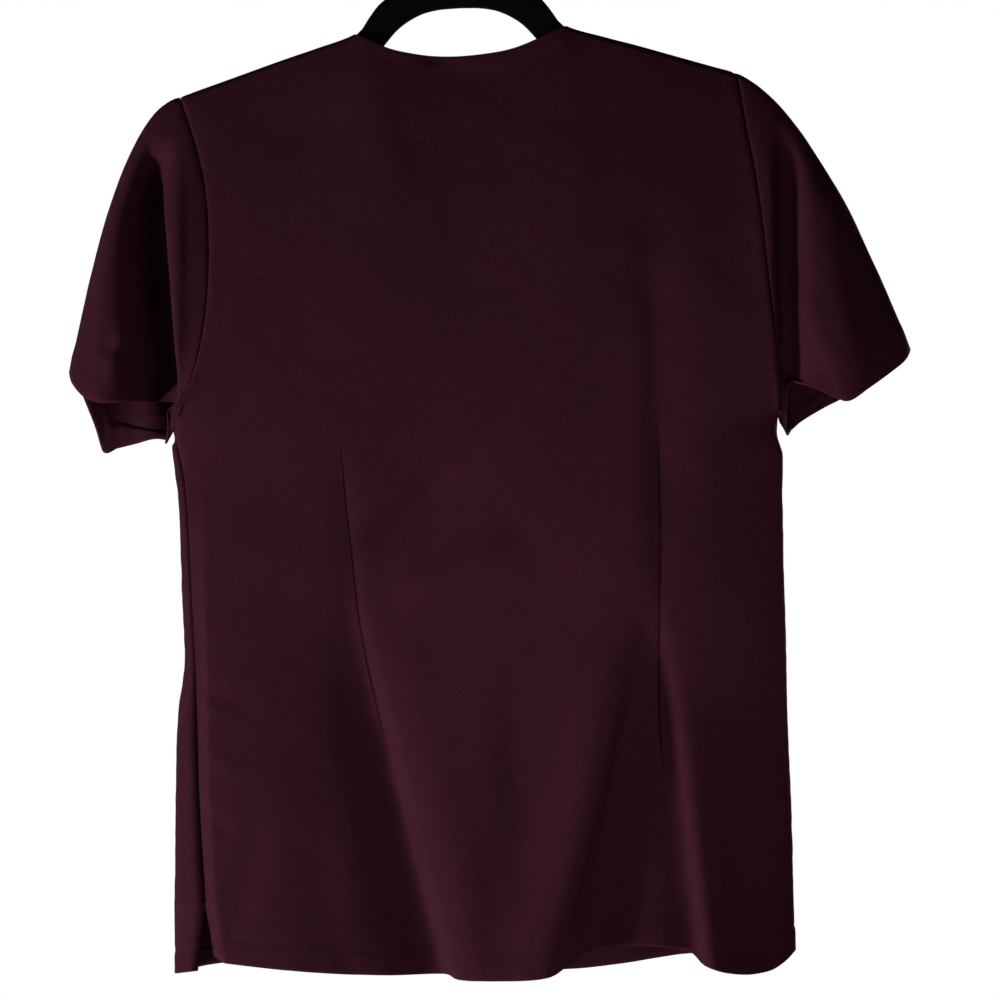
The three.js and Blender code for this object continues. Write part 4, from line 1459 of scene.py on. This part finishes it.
class SCRUBTOP_OT_front_panel(bpy.types.Operator):
    """Cut and hang the front panel with its V neck"""

    bl_idname = "scrubtop.front_panel"
    bl_label = "Front panel"

    def execute(self, context):
        settings = context.scene.scrub_garment
        piece, stitches = make_panel("front", settings.steps_front, settings)
        finish_sheet("front_panel")
        return {"FINISHED"}


class SCRUBTOP_OT_sleeves(bpy.types.Operator):
    """Set in the two short sleeves"""

    bl_idname = "scrubtop.sleeves"
    bl_label = "Sleeves"

    def execute(self, context):
        settings = context.scene.scrub_garment
        for name in SLEEVES:
            piece, stitches = make_sleeve(name, settings)
            finish_sheet(f"sleeve_{name}")
        return {"FINISHED"}


class SCRUBTOP_OT_hanger(bpy.types.Operator):
    """Make the flocked band and the wire hook"""

    bl_idname = "scrubtop.hanger"
    bl_label = "Hanger"

    def execute(self, context):
        band = make_hanger_body(context.scene.scrub_hanger)
        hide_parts("hanger_body")
        hook = make_hook()
        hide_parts("hanger_hook")
        return {"FINISHED"}


class SCRUBTOP_OT_studio(bpy.types.Operator):
    """Set up the camera, the lights and the floor"""

    bl_idname = "scrubtop.studio"
    bl_label = "Studio"

    def execute(self, context):
        settings = context.scene.scrub_studio
        place_camera(settings)
        studio_floor(settings.floor_drop)
        studio_world(settings.ambient)
        for row in LIGHTS:
            area_light(row, settings)
        context.scene.view_settings.view_transform = "Standard"
        return {"FINISHED"}


def finish_sheet(node):
    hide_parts(node)


def place_camera(settings):
    """Looks at the garment's back, square on, turned a little about the line of sight."""
    camera = bpy.data.cameras.new("camera")
    camera.sensor_width = 36.0
    camera.lens = camera.sensor_width * settings.camera_distance / settings.framed_width
    camera.clip_end = 20.0
    holder = bpy.data.objects.new("camera", camera)
    square_on = Matrix(((-1, 0, 0), (0, 0, 1), (0, 1, 0))).to_4x4()
    roll = Matrix.Rotation(-settings.camera_roll, 4, "Z")
    place = Matrix.Translation((CAMERA_X, settings.camera_distance, CAMERA_LEVEL))
    holder.matrix_world = place @ square_on @ roll
    bpy.context.scene.collection.objects.link(holder)
    bpy.context.scene.camera = holder


STEPS = (
    SCRUBTOP_OT_studio,
    SCRUBTOP_OT_hanger,
    SCRUBTOP_OT_back_panel,
    SCRUBTOP_OT_front_panel,
    SCRUBTOP_OT_sleeves,
)


class SCRUBTOP_PT_sidebar(bpy.types.Panel):
    """The steps and settings of the scrub top"""

    bl_idname = "SCRUBTOP_PT_sidebar"
    bl_label = "Scrub top"
    bl_space_type = "VIEW_3D"
    bl_region_type = "UI"
    bl_category = "Scrub top"

    def draw(self, context):
        layout = self.layout
        for step in STEPS:
            layout.operator(step.bl_idname)
        for group in (context.scene.scrub_garment, context.scene.scrub_hanger, context.scene.scrub_studio):
            box = layout.box()
            for name in group.bl_rna.properties.keys():
                if name not in ("rna_type", "name"):
                    box.prop(group, name)


CLASSES = (GarmentSettings, HangerSettings, StudioSettings, *STEPS, SCRUBTOP_PT_sidebar)


def register():
    for cls in CLASSES:
        bpy.utils.register_class(cls)
    bpy.types.Scene.scrub_garment = PointerProperty(type=GarmentSettings)
    bpy.types.Scene.scrub_hanger = PointerProperty(type=HangerSettings)
    bpy.types.Scene.scrub_studio = PointerProperty(type=StudioSettings)


def unregister():
    del bpy.types.Scene.scrub_studio
    del bpy.types.Scene.scrub_hanger
    del bpy.types.Scene.scrub_garment
    for cls in reversed(CLASSES):
        bpy.utils.unregister_class(cls)


def main():
    register()
    bpy.ops.scrubtop.studio()
    bpy.ops.scrubtop.hanger()
    bpy.ops.scrubtop.back_panel()
    bpy.ops.scrubtop.front_panel()
    bpy.ops.scrubtop.sleeves()
    bpy.context.view_layer.update()


if __name__ == "__main__":
    main()
